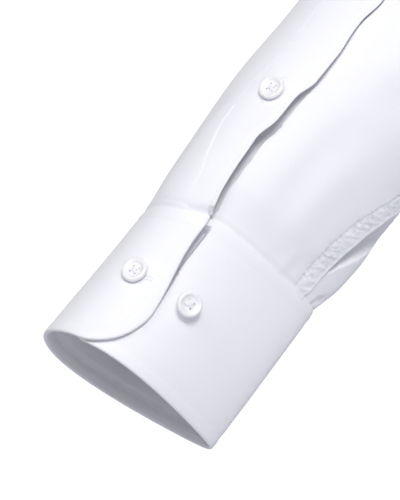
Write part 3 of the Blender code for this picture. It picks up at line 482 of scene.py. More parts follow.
def sew(name, rows, pitch=2.1, length=1.55, width=0.34, height=0.34, turn=0.0):
    """Stitches along rows of (points, normals), as one plain mesh. Sizes are in millimetres."""
    mesh = bpy.data.meshes.new(name + "_paths")
    ends = np.cumsum([len(p) for p, _ in rows])
    edges = [(i, i + 1) for i in range(ends[-1] - 1) if i + 1 not in ends]
    mesh.from_pydata(np.concatenate([p for p, _ in rows]).tolist(), edges, [])
    stand = np.concatenate([n for _, n in rows]).astype(np.float32)
    mesh.attributes.new("out", "FLOAT_VECTOR", "POINT").data.foreach_set("vector", stand.ravel())
    path = add_object(name + "_paths", mesh)
    modifier = path.modifiers.new("stitches", "NODES")
    modifier.node_group = STITCHES
    sizes = {"Pitch": pitch, "Length": length, "Width": width, "Height": height}
    values = {title: size * MM for title, size in sizes.items()} | {"Turn": turn, "Thread": THREAD}
    for item in STITCHES.interface.items_tree:
        if item.in_out == "INPUT" and item.name in values:
            modifier[item.identifier] = values[item.name]
    bpy.context.view_layer.update()
    done = path.evaluated_get(bpy.context.evaluated_depsgraph_get())
    stitched = bpy.data.meshes.new_from_object(done)
    stitched.name = name
    piece = add_object(name, stitched)
    bpy.data.objects.remove(path)
    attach(piece, "root")


def torso_row(angle, rise, lift):
    """(points, normals) of a row of stitches on the body of the shirt."""
    angle, rise = np.broadcast_arrays(np.asarray(angle, float), np.asarray(rise, float))
    out = torso_normal(angle, rise)
    return torso(angle, rise) + out * lift, out


# The columns of the back and the yoke, with a few extra beside their seams.
seam_shares = np.array([0.004, 0.009, 0.014])
even_shares = np.linspace(0, 1, BACK_COLUMNS + 1)[1:-1]
back_shares = np.concatenate([[0], seam_shares, even_shares, 1 - seam_shares[::-1], [1]])
back_middle = 1 - (2 * back_shares - 1) ** 2

back_rises = np.concatenate([SIDE_RISES, ARMHOLE_RISES[: YOKE_ROW + 1]])
back_low = np.concatenate([np.full(SIDE_ROWS, math.pi / 2), ARMHOLE_BACK[: YOKE_ROW + 1]])
back_low = back_low + GAP / column(RINGS, "half_width", back_rises)
back_turns = back_low[:, None] + (2 * math.pi - 2 * back_low)[:, None] * back_shares
back_spread = fanned(back_rises, back_middle)
back_spread[-1] -= GAP
back_turns, back_spread = with_hem(back_turns, back_spread)
back_face = torso(back_turns, back_spread)
back_inside = back_face - torso_normal(back_turns, back_spread) * CLOTH
back_sheet = dict(flat=(0.60, 0.67), held="hung", area=0.37)
add_cloth("back_panel", "back", (back_face, back_inside), SHIRTING, back_sheet)

hem_turns = np.linspace(0, 2 * math.pi, 900)
hem_row = torso_row(hem_turns, hem_rise(hem_turns) + HEM_TURNED - 0.8 * MM, ON_CLOTH)
side_rows = []
for side in (1, -1):
    down = np.linspace(UNDERARM - 0.004, HEM_SIDE + 0.002, 240)
    for across in (1.2 * MM, FELL - 1.0 * MM):
        turn = side * (math.pi / 2 + across / (DEGREE_ROUND_BODY * MM * 180 / math.pi))
        side_rows.append(torso_row(np.full(240, turn), down, ON_CLOTH))
sew("hem_and_side_stitches", [hem_row] + side_rows)

# ------------------------------------------------------------------------------------ the yoke
# A double piece of the same poplin over the shoulders, its back seam straight across and its front
# seams just forward of the shoulder line. Both seams are stitched down close to the edge.

YOKE_FORWARD = 28.0 * MM
YOKE_STITCH = 2.2 * MM
NECK_ROWS = 36
NECK_RISES = SHOULDER_END + (NECK - SHOULDER_END) * np.linspace(0, 1, NECK_ROWS + 1)[1:]


def away_from_neck(angle):
    return np.stack([np.sin(angle), -np.cos(angle), np.zeros_like(angle)], axis=-1)


def neck_flat(angles, out):
    """The normals with those of the neck row laid level, so that lifted layers end level too."""
    out = out.copy()
    level = away_from_neck(angles[-1])
    out[-1] = level / np.sum(level * out[-1], axis=-1, keepdims=True)
    return out


def yoke_seam_turn(rise):
    """The torso angle of the front yoke seam, a fixed distance forward of the shoulder line."""
    return np.arccos(YOKE_FORWARD / column(RINGS, "front_depth", rise))


# The yoke's rows run from its back seam up over the shoulders to the neck.
full_rises = np.concatenate([SIDE_RISES, ARMHOLE_RISES, NECK_RISES])
first_row = SIDE_ROWS + YOKE_ROW
yoke_rises = fanned(full_rises, back_middle)[first_row:]
yoke_low = np.concatenate([ARMHOLE_BACK[YOKE_ROW:], yoke_seam_turn(NECK_RISES)])
yoke_low = yoke_low + GAP / column(RINGS, "half_width", full_rises[first_row:])
yoke_turns = yoke_low[:, None] + (2 * math.pi - 2 * yoke_low)[:, None] * back_shares
yoke_out = neck_flat(yoke_turns, torso_normal(yoke_turns, yoke_rises))
yoke_face = torso(yoke_turns, yoke_rises)
yoke_lift = 0.35 * MM * ramp(np.arange(len(yoke_rises)), -1, 1)[:, None, None]
yoke_faces = (yoke_face + yoke_out * yoke_lift, yoke_face - yoke_out * CLOTH)
yoke_sheet = dict(flat=(0.53, 0.20), held="hung", area=0.082)
add_cloth("yoke_panel", "yoke", yoke_faces, SHIRTING, yoke_sheet)

behind = slice(4, -4)
yoke_rows = [torso_row(yoke_turns[0, behind], yoke_rises[0, behind] + YOKE_STITCH, 0.4 * MM)]
shoulder = np.linspace(SHOULDER_END + 0.004, NECK - 0.004, 90)
for side in (1, -1):
    turn = yoke_seam_turn(shoulder) + YOKE_STITCH / column(RINGS, "front_depth", shoulder)
    yoke_rows.append(torso_row(side * turn, shoulder, 0.4 * MM))
sew("yoke_stitches", yoke_rows)

# ------------------------------------------------------------------------------------ the fronts
# Left and right panels of poplin, felled to the back at the sides. The left front laps over the
# right by the width of the button band.

FRONT_BAND = 35.0 * MM
FRONT_COLUMNS = 56
FRONT_LIFT = 1.3 * MM  # the left front over the right, under the band
band_ends = np.array([0.88, 0.95, 0.985, 1])
BAND_SHARES = np.concatenate([-band_ends[::-1], np.linspace(-0.8, 0.8, 11), band_ends])


def front_edge(rise, reach):
    """The torso angle that lies a distance across from the centre front."""
    half_width = column(RINGS, "half_width", rise)
    return np.arcsin(np.clip(reach / half_width, -1, 1))


# The left front's grid runs from its edge past the centre to its outer seams.
front_outer = np.concatenate(
    [np.full(SIDE_ROWS, math.pi / 2), ARMHOLE_FRONT, yoke_seam_turn(NECK_RISES)]
)
front_outer = front_outer - GAP / column(RINGS, "half_width", full_rises)
share = np.concatenate([np.linspace(0, 1, FRONT_COLUMNS + 1)[:-1], [0.988, 0.994, 1]])
front_spread = fanned(full_rises, np.concatenate([np.ones(len(BAND_SHARES) - 1), 1 - share**2]))
band_part = [
    front_edge(front_spread[:, i], x * FRONT_BAND / 2) for i, x in enumerate(BAND_SHARES)
]
rest = [band_part[-1] + (front_outer - band_part[-1]) * t for t in share[1:]]
front_turns, front_rises = with_hem(np.stack(band_part + rest, axis=1), front_spread)

SIDES = ((1, "left"), (-1, "right"))
for side, name in SIDES:
    front_face = torso(front_turns * side, front_rises)
    front_out = neck_flat(front_turns * side, torso_normal(front_turns * side, front_rises))
    if side > 0:
        across = column(RINGS, "half_width", front_rises) * np.sin(front_turns)
        lift = FRONT_LIFT * ramp(across, FRONT_BAND / 2 + 60 * MM, FRONT_BAND / 2)
        front_face = front_face + front_out * lift[..., None]
    front_faces = (front_face, front_face - front_out * CLOTH)
    front_sheet = dict(flat=(0.34, 0.80), held="hung", area=0.215)
    add_cloth(f"front_panel_{name}", f"front_{name}", front_faces, SHIRTING, front_sheet)

# ------------------------------------------------------------------------------------ the button band
# A folded strip of poplin down the left front's edge, stitched along both sides, with seven upright
# buttonholes worked in satin stitch.

BAND_THICK = 1.0 * MM
BAND_STITCH = 5.0 * MM
BAND_LIFT = FRONT_LIFT + 0.4 * MM
FIRST_BUTTON_Z, BUTTON_SPACING, FRONT_BUTTONS = -0.122, 0.090, 7
BUTTONHOLE = 14.0 * MM
HOLE_SIDES = (-0.65 * MM, 0.65 * MM)
SATIN = dict(pitch=0.42, length=1.15, width=0.42, height=0.35, turn=math.pi / 2)


def rounded(distance, thick):
    """Half the thickness of a folded edge at a distance in from it."""
    radius = thick / 2
    near = np.clip(distance / radius, 0, 1)
    return radius * np.sqrt(np.maximum(1 - (1 - near) ** 2, 0.0025))


def centre_rise(z):
    """The rise at which the centre front has a height."""
    rises = np.linspace(HIP - 0.1, NECK, 400)
    return np.interp(z, column(RINGS, "front_z", rises), rises)


band_turns, band_rises = [grid[:, : len(BAND_SHARES)] for grid in (front_turns, front_rises)]
band_out = neck_flat(band_turns, torso_normal(band_turns, band_rises))
in_from_edge = (1 - np.abs(BAND_SHARES)) * FRONT_BAND / 2
stitch_dip = 1 - 0.25 * bump(in_from_edge, BAND_STITCH, 1.2 * MM)
band_half = (rounded(in_from_edge, BAND_THICK) * stitch_dip)[None, :, None]
band_mid = torso(band_turns, band_rises) + band_out * (BAND_LIFT + BAND_THICK / 2)
band_faces = (band_mid + band_out * band_half, band_mid - band_out * band_half)
add_cloth("button_band", "front_band", band_faces, SHIRTING, dict(flat=(0.036, 0.80), held="hung"))

down = np.linspace(HEM_FRONT + 0.003, NECK - 0.003, 420)
band_top = BAND_LIFT + BAND_THICK
edges = [front_edge(down, s * (FRONT_BAND / 2 - BAND_STITCH)) for s in (1, -1)]
sew("band_stitches", [torso_row(turn, down, band_top - 0.1 * MM) for turn in edges])
holes = []
for number in range(FRONT_BUTTONS):
    middle = centre_rise(FIRST_BUTTON_Z - BUTTON_SPACING * number)
    up = np.linspace(middle - BUTTONHOLE / 2, middle + BUTTONHOLE / 2, 12)
    holes += [torso_row(front_edge(up, across), up, band_top) for across in HOLE_SIDES]
sew("front_buttonholes", holes, **SATIN)

# ------------------------------------------------------------------------------------ the collar stand
# A stiff strip of poplin over interlining, standing round the neckline, its left end lapped over
# its right and buttoned.

INTERLINED = 1.8 * MM
STAND_FRONT, STAND_SIDE, STAND_BACK = 30.0 * MM, 34.0 * MM, 36.0 * MM
STAND_FORWARD, STAND_LEAN = 5.0 * MM, 2.5 * MM
SEAM_RISE = np.array([0, 0, 0.5 * MM])
UPRIGHT = np.array([0, 0, 1.0])
STIFF = poplin("interlined cotton poplin", 0.78)

# The neckline's corners, from the right front's edge right round behind to the left front's, so
# that what stands on the neckline has the same corners.
left_half = front_turns[-1]
NECK_TURNS = np.concatenate([-left_half, -yoke_turns[-1, 1:-1], left_half[::-1] - 2 * math.pi])


def stand_point(angle, up, out):
    """The collar stand: up from 0 at the neck seam to 1 at its top, out from its outer face."""
    neck = torso(angle, np.full_like(angle, NECK))
    away = away_from_neck(angle)
    end = np.where(np.cos(angle) > 0, STAND_FRONT, STAND_BACK)
    height = STAND_SIDE + (end - STAND_SIDE) * np.cos(angle) ** 2
    lean = away * (-STAND_LEAN * up)[..., None] + np.array([0, -STAND_FORWARD, 0]) * up[..., None]
    return neck + lean + away * out[..., None] + UPRIGHT * (height * up)[..., None] + SEAM_RISE


def stand_lap(angle):
    """How far the stand's left end stands off, from where it rises to just past the right end."""
    turn = within(angle)
    return (INTERLINED + GAP) * ramp(turn, 1.3, 0.4) * ramp(turn, -0.75, -0.32)


stand_ups = np.array([0, 0.006, 0.02, 0.045, *np.linspace(0.09, 0.91, 14), 0.955, 0.98, 0.994, 1])
stand_turn, stand_up = np.meshgrid(NECK_TURNS, stand_ups)
stand_over = stand_lap(stand_turn) * (stand_turn < -math.pi) - INTERLINED / 2
stand_half = rounded(np.minimum(stand_up, 1 - stand_up) * STAND_SIDE, INTERLINED)
stand_faces = [stand_point(stand_turn, stand_up, stand_over + s * stand_half) for s in (1, -1)]
stand_sheet = dict(flat=(0.44, 0.036), held="stretched")
add_cloth("neck_stand", "collar_stand", stand_faces, STIFF, stand_sheet)

turn = NECK_TURNS[2:-2]
over = stand_lap(turn) * (turn < -math.pi)
stand_rows = [stand_point(turn, np.full_like(turn, up), over) for up in (0.07, 0.93)]
sew("stand_stitches", [(row, away_from_neck(turn)) for row in stand_rows])

# ------------------------------------------------------------------------------------ the collar
# The fall of the collar, interlined and turned down over the stand to two points, with stitching
# 5 mm inside its edge.

COLLAR_OPEN = math.radians(4)
COLLAR_THICK = 1.3 * MM
COLLAR_STITCH = 5.0 * MM
COLLAR_SEAM, COLLAR_INSET = 0.9 * MM, 0.4 * MM
COLLAR_CLEAR, POINT_CLEAR = 4.0 * MM, 2.5 * MM
COLLAR_SWELL = 2.0 * MM
FOLD_RISE = 2.6 * MM
LEAF_EDGE = table(
    "name angle turn rise",
    ("point", 4, 17, 0.016),
    ("front", 42, 38, 0.052),
    ("side", 90, 90, 0.078),
    ("shoulder", 138, 138, 0.078),
    ("back", 180, 180, 0.072),
)


def leaf_edge(angle):
    """The collar's outer edge, just clear of the shirt, at an angle round the neck."""
    degrees = np.degrees(angle) % 360
    left = np.where(degrees > 180, 360 - degrees, degrees)
    turn = np.radians(column(LEAF_EDGE, "turn", left))
    turn = np.where(degrees > 180, -turn, turn)
    rise = column(LEAF_EDGE, "rise", left)
    clear = COLLAR_CLEAR + POINT_CLEAR * ramp(left, 40, 10)
    return torso(turn, rise) + torso_normal(turn, rise) * clear[:, None]


def through_rows(rows, shares):
    """Points at shares of the way through a stack of rows, on smooth curves that pass them."""
    rows = np.concatenate([2 * rows[:1] - rows[1:2], rows, 2 * rows[-1:] - rows[-2:-1]])
    at = np.clip(shares, 0, 1) * (len(rows) - 3)
    i = np.minimum(at.astype(int), len(rows) - 4)
    t = (at - i)[:, None, None]
    a, b, c, d = rows[i], rows[i + 1], rows[i + 2], rows[i + 3]
    square, cube = 2 * a - 5 * b + 4 * c - d, 3 * b - a - 3 * c + d
    return 0.5 * (2 * b + (c - a) * t + square * t**2 + cube * t**3)


corners = -NECK_TURNS
corners = corners[(corners > 2 * COLLAR_OPEN) & (corners < 2 * math.pi - 2 * COLLAR_OPEN)]
first = COLLAR_OPEN * np.array([1, 1.01, 1.035, 1.08, 1.25, 1.5, 1.75])
leaf_turn = np.concatenate([first, corners, 2 * math.pi - first[::-1]])
clear = INTERLINED + GAP
top = stand_point(leaf_turn, np.ones_like(leaf_turn), stand_lap(leaf_turn)) - SEAM_RISE
away = away_from_neck(leaf_turn)
sewn = top + SEAM_RISE + UPRIGHT * (3 * GAP + COLLAR_SEAM) - away * COLLAR_INSET
crest = top + UPRIGHT * (FOLD_RISE + INTERLINED + GAP) + away * 0.4 * clear
turned = top + away * (clear + INTERLINED + 0.6 * MM) + UPRIGHT * 0.2 * MM
fall = leaf_edge(leaf_turn) - turned
falls = [turned + fall * t + away * COLLAR_SWELL * (4 * t * (1 - t)) for t in (0.33, 0.67, 1.0)]
leaf_shares = np.concatenate([np.linspace(0, 0.96, 40), [0.97, 0.98, 0.99, 0.996, 1.0]])
leaf_mid = through_rows(np.stack([sewn, crest, turned, *falls]), leaf_shares)
leaf_in = unit(np.cross(np.gradient(leaf_mid, axis=1), np.gradient(leaf_mid, axis=0)))
if np.sum(leaf_in[25] * away) > 0:
    leaf_in = -leaf_in
from_rim, from_left, from_right = [
    np.linalg.norm(leaf_mid - edge, axis=-1)
    for edge in (leaf_mid[-1:], leaf_mid[:, :1], leaf_mid[:, -1:])
]
from_ends = np.where(leaf_shares[:, None] > 0.3, np.minimum(from_left, from_right), 1)
from_edge = np.minimum(from_rim, from_ends)
leaf_half = rounded(from_edge, COLLAR_THICK) * (1 - 0.2 * bump(from_edge, COLLAR_STITCH, 1.2 * MM))
leaf_mid = leaf_mid + leaf_in * (COLLAR_THICK / 2)
collar_faces = [leaf_mid - s * leaf_in * leaf_half[..., None] for s in (1, -1)]
collar_sheet = dict(flat=(0.50, 0.078), held="folded", area=0.028)
add_cloth("collar_fall", "collar", collar_faces, STIFF, collar_sheet)


def rim_row(grid, out, distance):
    """(points, normals) on a grid's surface at a distance in from its last row."""
    reach = np.linalg.norm(grid[-1:] - grid, axis=-1)
    back_from_rim, c = np.arange(len(grid))[::-1], np.arange(grid.shape[1])
    row = np.array([np.interp(distance, reach[::-1, i], back_from_rim) for i in c])
    low = np.minimum(row.astype(int), len(grid) - 2)
    t = (row - low)[:, None]
    return grid[low, c] * (1 - t) + grid[low + 1, c] * t, out[low, c]


collar_rim = rim_row(collar_faces[0], -leaf_in, COLLAR_STITCH)
collar_rows = [[part[9:-9] for part in collar_rim]]
collar_rows += [(collar_faces[0][14:-5, end], -leaf_in[14:-5, end]) for end in (8, -9)]
sew("collar_stitches", collar_rows)

# ------------------------------------------------------------------------------------ the sleeves
# Each sleeve is one panel of poplin, felled along the underarm, set into the armhole, and pleated
# twice into the cuff. A slit runs up from the cuff under the placket.

ARM_ANGLE = math.radians(38)
SLEEVE = 0.580
CUFF = 71.0 * MM
SLIT_LENGTH = 132.0 * MM
SLIT_OUTER, SLIT_INNER = 9.8 * MM, 7.5 * MM
PLACKET = 24.0 * MM
SLEEVE_FELL = 9.0 * MM
ARMHOLE_STITCH = 8.0 * MM
RECESS_DEPTH, POUCH_HEIGHT = 18.0 * MM, 2.0 * MM  # past the underarm seam, over the cuff
UPPER_ROWS = 32
# Sections of the sleeve and cuff by distance down the arm. Egg thins the side towards the body, roll
# turns a section, in degrees, bow sets it back, shift sets it towards the body and skew slants it.
SECTIONS = table(
    "name along half_width half_depth egg roll bow shift skew",
    ("upper arm", 0.240, 0.0640, 0.0640, 0.00, 0, 0.004, 0.000, 0.00),
    ("biceps", 0.300, 0.0620, 0.0610, 0.00, 0, 0.007, 0.000, 0.00),
    ("elbow", 0.385, 0.0565, 0.0560, 0.00, 3, 0.010, 0.000, 0.00),
    ("forearm", 0.470, 0.0490, 0.0490, 0.05, 8, 0.006, 0.001, 0.00),
    ("button", 0.520, 0.0448, 0.0445, 0.20, 8, 0.003, -0.002, -0.03),
    ("fullness", 0.562, 0.0412, 0.0390, 0.40, 8, 0.001, -0.001, -0.08),
    ("cuff seam", SLEEVE, 0.0397, 0.0331, 0.50, 8, 0.000, 0.000, -0.10),
    ("mouth", SLEEVE + CUFF, 0.0412, 0.0271, 0.50, -5, -0.002, 0.001, -0.09),
)
# The free edge of the sleeve placket and the underarm seam, in degrees round the arm, by height
# above the cuff seam.
EDGES = table(
    "above placket_edge seam",
    (0.000, -32, 48),
    (0.012, -34, 49),
    (0.034, -34, 53),
    (0.045, -30, 58),
    (0.058, -29, 65),
    (0.068, -26, 70),
    (0.082, -27, 75),
    (0.100, -30, 79),
    (0.112, -28, 81),
    (0.152, -28, 84),
    (SLEEVE, -28, 90),
)
# The first pleat folds over the placket's stitched edge: how many millimetres of the placket stay
# uncovered.
FIRST_PLEAT = table(
    "above wide",
    (0.000, 11.2),
    (0.012, 12.0),
    (0.021, 14.3),
    (0.030, 17.1),
    (0.038, 19.6),
    (0.047, 22.4),
    (0.056, 23.8),
    (0.066, 24.0),
    (SLEEVE, 24.0),
)
# How far the sleeve's cloth falls in beside the placket's free edge, and how wide the fall shows,
# both in millimetres.
PLACKET_MOUTH = table(
    "above wide deep",
    (0.000, 1.5, 2.4),
    (0.006, 1.8, 3.4),
    (0.012, 2.0, 4.0),
    (0.020, 2.3, 4.6),
    (0.029, 2.8, 5.0),
    (0.040, 2.7, 4.8),
    (0.049, 1.8, 3.6),
    (0.058, 1.8, 3.4),
    (0.068, 0.8, 2.0),
    (0.100, 0.6, 1.4),
    (0.150, 0.3, 0.2),
)
# Creases of a sleeve: degrees round the arm, and millimetres above the cuff seam.
SLEEVE_CREASES = table(
    CREASE,
    ("long fold by the placket", -12, 22, -4, 72, 7, 0.7),
    ("soft hollow by the placket", -2, 14, 8, 62, 7, -0.6),
    ("fold to the seam", 13, 6, 22, 58, 6, 0.7),
    ("hollow by the seam", 36, 4, 46, 42, 3.5, -0.4),
    ("tuck under the pouch", 62, 1, 76, 5, 2.4, -1.3),
    ("short ray by the seam", 20, -2, 25, 12, 3, 0.6),
    ("upper panel fold", -8, 84, 22, 118, 8, 0.9),
    ("upper panel hollow", 6, 76, 34, 100, 7, -0.7),
    ("fold over the button", -44, 64, -36, 82, 4, 0.5),
    ("dimple by the button", -37, 66, -33, 74, 3, -0.6),
    ("second pleat's fold", -86, 46, -94, 29, 1.2, -0.9),
    ("second pleat's end", -91, 17, -94, 6, 1.4, -1.5),
    ("elbow fold", 60, 190, 130, 214, 8, 3.6),
    ("elbow hollow", 50, 206, 126, 232, 8, -3.2),
    ("second elbow fold", 66, 226, 140, 240, 8, 3.1),
    ("inner elbow hollow", 80, 244, 150, 262, 8, -2.7),
    ("outer elbow fold", -150, 200, -90, 222, 10, 2.5),
    ("back of elbow fold", -40, 214, 20, 196, 10, 2.3),
    ("underarm fold", 60, 330, 96, 430, 9, 3.2),
    ("underarm hollow", 76, 320, 112, 410, 9, -2.9),
    ("front underarm fold", 120, 340, 140, 440, 10, 2.9),
    ("back underarm fold", 20, 320, 44, 420, 10, 2.9),
    ("front pleat fold", -150, 10, -146, 90, 8, 1.0),
    ("front hollow", -170, 6, -166, 70, 8, -0.9),
    ("inner wrist fold", 126, 8, 118, 66, 7, 0.9),
    ("inner wrist hollow", 142, 6, 138, 56, 7, -0.8),
)
DEGREE_ROUND_ARM = 0.78  # millimetres
# A pleat on the arm's far side: degrees round the arm, and how far up from the cuff it runs.
HIDDEN_PLEAT, HIDDEN_WIDTH, HIDDEN_HEIGHT, HIDDEN_LENGTH = -122, 14, 1.3 * MM, 0.065
CUFF_SEAM_DIP, CUFF_DIP_TURN = 4.0 * MM, math.radians(-74)

DOWN_ARM = np.array([math.sin(ARM_ANGLE), 0, -math.cos(ARM_ANGLE)])
TO_BODY = np.array([-math.cos(ARM_ANGLE), 0, -math.sin(ARM_ANGLE)])
BACKWARD = np.array([0, 1.0, 0])
ARM_START = np.array([0.222, 0, -0.050]) + TO_BODY * SECTIONS[0].half_width
BLEND_END = SECTIONS[0].along


def radius_at(above):
    return column(SECTIONS, "half_width", SLEEVE - above)


def placket_edge(above):
    return np.radians(column(EDGES, "placket_edge", above))


def placket_turn(above, across):
    """The arm angle at a distance across the placket, in from its free edge."""
    return placket_edge(above) - across / radius_at(above)


def first_pleat_turn(above):
    """The arm angle of the first pleat's fold, which lies over the placket's stitched edge."""
    return placket_turn(above, MM * column(FIRST_PLEAT, "wide", above))


def seam_turn(above):
    return np.radians(column(EDGES, "seam", above))


def past_seam(past, across, above):
    """The ridge of the felled seam, the deep hollow past it, and the pouch of cloth over the cuff,
    by degrees past the seam and distance across it."""
    out = 1.2 * MM * bump(past, 0, 9) * ramp(above, 0.012, 0.040) * ramp(above, 0.300, 0.120)
    start = 0.0110 + 0.00105 * np.clip(past, 0, 40)
    recess = ramp(above, start, start + 0.006) * ramp(above, 0.300, 0.120)
    out = out - RECESS_DEPTH * ramp(across, 0.2 * MM, 3.0 * MM) * ramp(past, 30, 20) * recess
    puffed = ramp(above, 0, 0.016) * ramp(above, 0.048, 0.026)
    out = out + POUCH_HEIGHT * bump(past, 31, 17) * puffed
    return out - 0.5 * MM * bump(above, 0.001, 0.004) * ramp(past, 8, 24) * ramp(past, 70, 45)


def fell_relief(across, above):
    """The felled seam's band, gathered into puckers: fine ones along its stitched edge, others that
    lean across them, and loose ones over the whole band."""
    fell = ramp(across, -SLEEVE_FELL, -1.5 * MM) * ramp(across, 0.5 * MM, -0.2 * MM)
    level = 0.3 + 0.7 * ramp(above, 0.240, 0.120)
    up, over, wide = above / MM, across / MM, SLEEVE_FELL / MM
    uneven = 0.65 + 0.5 * puckers(up + 600, 9, 4.0)
    fine = puckers(up + 0.3 * over, 3, 1.1) * uneven * bump(over, 1.5 - wide, 2.0)
    cross = puckers(up - 0.5 * over + 150, 41, 1.8) * bump(over, 3.8 - wide, 2.4)
    loose = puckers(up - 0.6 * over + 300, 8, 2.1) * (0.6 + 0.5 * puckers(up + 800, 17, 7.0))
    ripple = 0.8 * fine + 0.34 * cross + 0.28 * loose * bump(over, -3.4, 3.2)
    ripple = ripple + 0.25 * puckers(up + 200, 31, 6.0) * bump(over, -4.5, 6)
    edge = 0.35 * bump(over, -0.5, 0.45) - 0.55 * bump(over, 1.0 - wide, 0.8)
    return 0.6 * MM * fell + MM * level * (ripple + edge) * ramp(above, -0.001, 0.003)


def pleats_and_fall(angle, above, radius):
    """The hidden pleat, the first pleat over the placket, and the fall beside its free edge."""
    turn = within(np.degrees(angle) - HIDDEN_PLEAT, 360)
    step = np.where(turn < 0, bump(turn, 0, HIDDEN_WIDTH), bump(turn, 0, 1.6))
    foot = ramp(above, -0.003, 0.004) * (1 + 0.6 * bump(above, 0.012, 0.006))
    out = HIDDEN_HEIGHT * step * ramp(above, HIDDEN_LENGTH, 0.010) * foot
    covered = within(angle - first_pleat_turn(above)) * radius
    soft = MM * (0.5 + 2.0 * ramp(above, 0.026, 0.012))
    edge_off = within(placket_edge(above) - angle) * radius
    rise = ramp(covered, soft, 0) * ramp(edge_off, PLACKET + 13 * MM, PLACKET + 2 * MM)
    out = out + 1.1 * MM * rise * ramp(above, 0.066, 0.038) * (0.15 + 0.85 * ramp(above, 0, 0.008))
    wide, deep = [MM * column(PLACKET_MOUTH, name, above) for name in ("wide", "deep")]
    fall = ramp(edge_off, -wide, -wide + 0.9 * MM) * ramp(edge_off, 12 * MM, 6 * MM)
    return out - deep * fall


def sleeve_folds(angle, along):
    """How far the sleeve's cloth stands out of its section."""
    above = SLEEVE - along
    radius = radius_at(above)
    from_seam = within(angle - seam_turn(above))
    across = from_seam * radius
    out = past_seam(np.degrees(from_seam), across, above) + fell_relief(across, above)
    out = out + pleats_and_fall(angle, above, radius)
    return out + MM * creased(SLEEVE_CREASES, np.degrees(angle), above / MM, DEGREE_ROUND_ARM)


def section(angle, along, folds=True):
    """A point of the sleeve or cuff. Angle 0 faces back, 90 degrees faces the body."""
    read = {name: column(SECTIONS, name, along) for name in SECTIONS[0]._fields[2:]}
    roll = np.radians(read["roll"])
    own = angle + roll
    out = sleeve_folds(angle, along) if folds else 0
    across = (read["half_width"] + out) * np.sin(own)
    deep = (read["half_depth"] + out) * np.cos(own) * (1 - read["egg"] * np.sin(own))
    to_body = across * np.cos(roll) - deep * np.sin(roll) + read["shift"]
    to_back = across * np.sin(roll) + deep * np.cos(roll) + read["bow"]
    dip = CUFF_SEAM_DIP * ramp(np.cos(angle - CUFF_DIP_TURN), 0.66, 1.0) * bump(along, SLEEVE, 0.022)
    down = along + read["skew"] * across + dip
    shifts = ((down, DOWN_ARM), (to_body, TO_BODY), (to_back, BACKWARD))
    return ARM_START + sum(far[..., None] * way for far, way in shifts)


def sleeve(angle, along):
    """The sleeve: sections below the upper arm, and above them a smooth run up to the armhole."""
    angle, along = np.broadcast_arrays(np.asarray(angle, float), np.asarray(along, float))
    lower = section(angle, np.maximum(along, BLEND_END))
    start = torso(*armhole_place(angle))
    end = section(angle, np.full_like(along, BLEND_END))
    length = np.linalg.norm(end - start, axis=-1, keepdims=True)
    outward = np.array([1.0, 0, 0]) * (0.25 * (1 - np.sin(angle)))[..., None]
    leaving = unit(DOWN_ARM + outward) * length
    t = np.clip(along / BLEND_END, 0, 1)[..., None]
    upper = start * (1 + 2 * t) * (1 - t) ** 2 + leaving * t * (1 - t) ** 2
    upper = upper + end * t**2 * (3 - 2 * t) + DOWN_ARM * length * t**2 * (t - 1)
    return np.where((along > BLEND_END)[..., None], lower, upper)


def sleeve_normal(angle, along):
    return -normals(sleeve, angle, along)


def plain_normal(angle, along):
    """The outward normals of the sections without their folds."""
    return -normals(lambda a, b: section(a, b, folds=False), angle, along)


def lap_lift(angle, above):
    """How far the lapped side of the cuff and sleeve stands off, so that the other end fits under."""
    turn = (np.degrees(angle) + 360) % 360 - 360
    full = INTERLINED + GAP + 0.2 * MM
    return full * ramp(turn, -170, -95) * ramp(above, SLIT_LENGTH, 0)


# Lines up the sleeve from the seam round to the seam: their arm angle at the cuff, or None where
# the line moves with height, and the number of columns to the next one.
SLEEVE_LINES = table(
    "name cuff_angle columns",
    ("seam", None, 11),
    ("hollow", None, 10),
    ("pouch", 92, 8),
    ("inner", 110, 5),
    ("inner front", 130, 5),
    ("front", 150, 6),
    ("mid front", 172, 6),
    ("outer front", 194, 9),
    ("second pleat", 238, 3),
    ("past second pleat", 242, 5),
    ("second pleat's fold", 262, 12),
    ("past its fold", 276, 2),
    ("first pleat", 280, 2),
    ("past first pleat", 283, 11),
    ("pleat over placket", None, 3),
    ("pleat fold foot", None, 3),
    ("slit outer", None, 1),
    ("slit inner", None, 5),
    ("placket edge", None, 8),
    ("mouth border", None, 12),
    ("back", 354, 10),
    ("mid back", 374, 10),
    ("fell top", None, 14),
    ("fell fold", None, 4),
)
sleeve_rows_up = np.concatenate(
    [[-2.0, -1.0], np.arange(0, 66, 0.34), np.arange(66, 200, 4.0), np.arange(200, 335, 7.5)]
)
line_starts = np.cumsum([0] + [line.columns for line in SLEEVE_LINES])
line_start = {line.name: start for line, start in zip(SLEEVE_LINES, line_starts)}


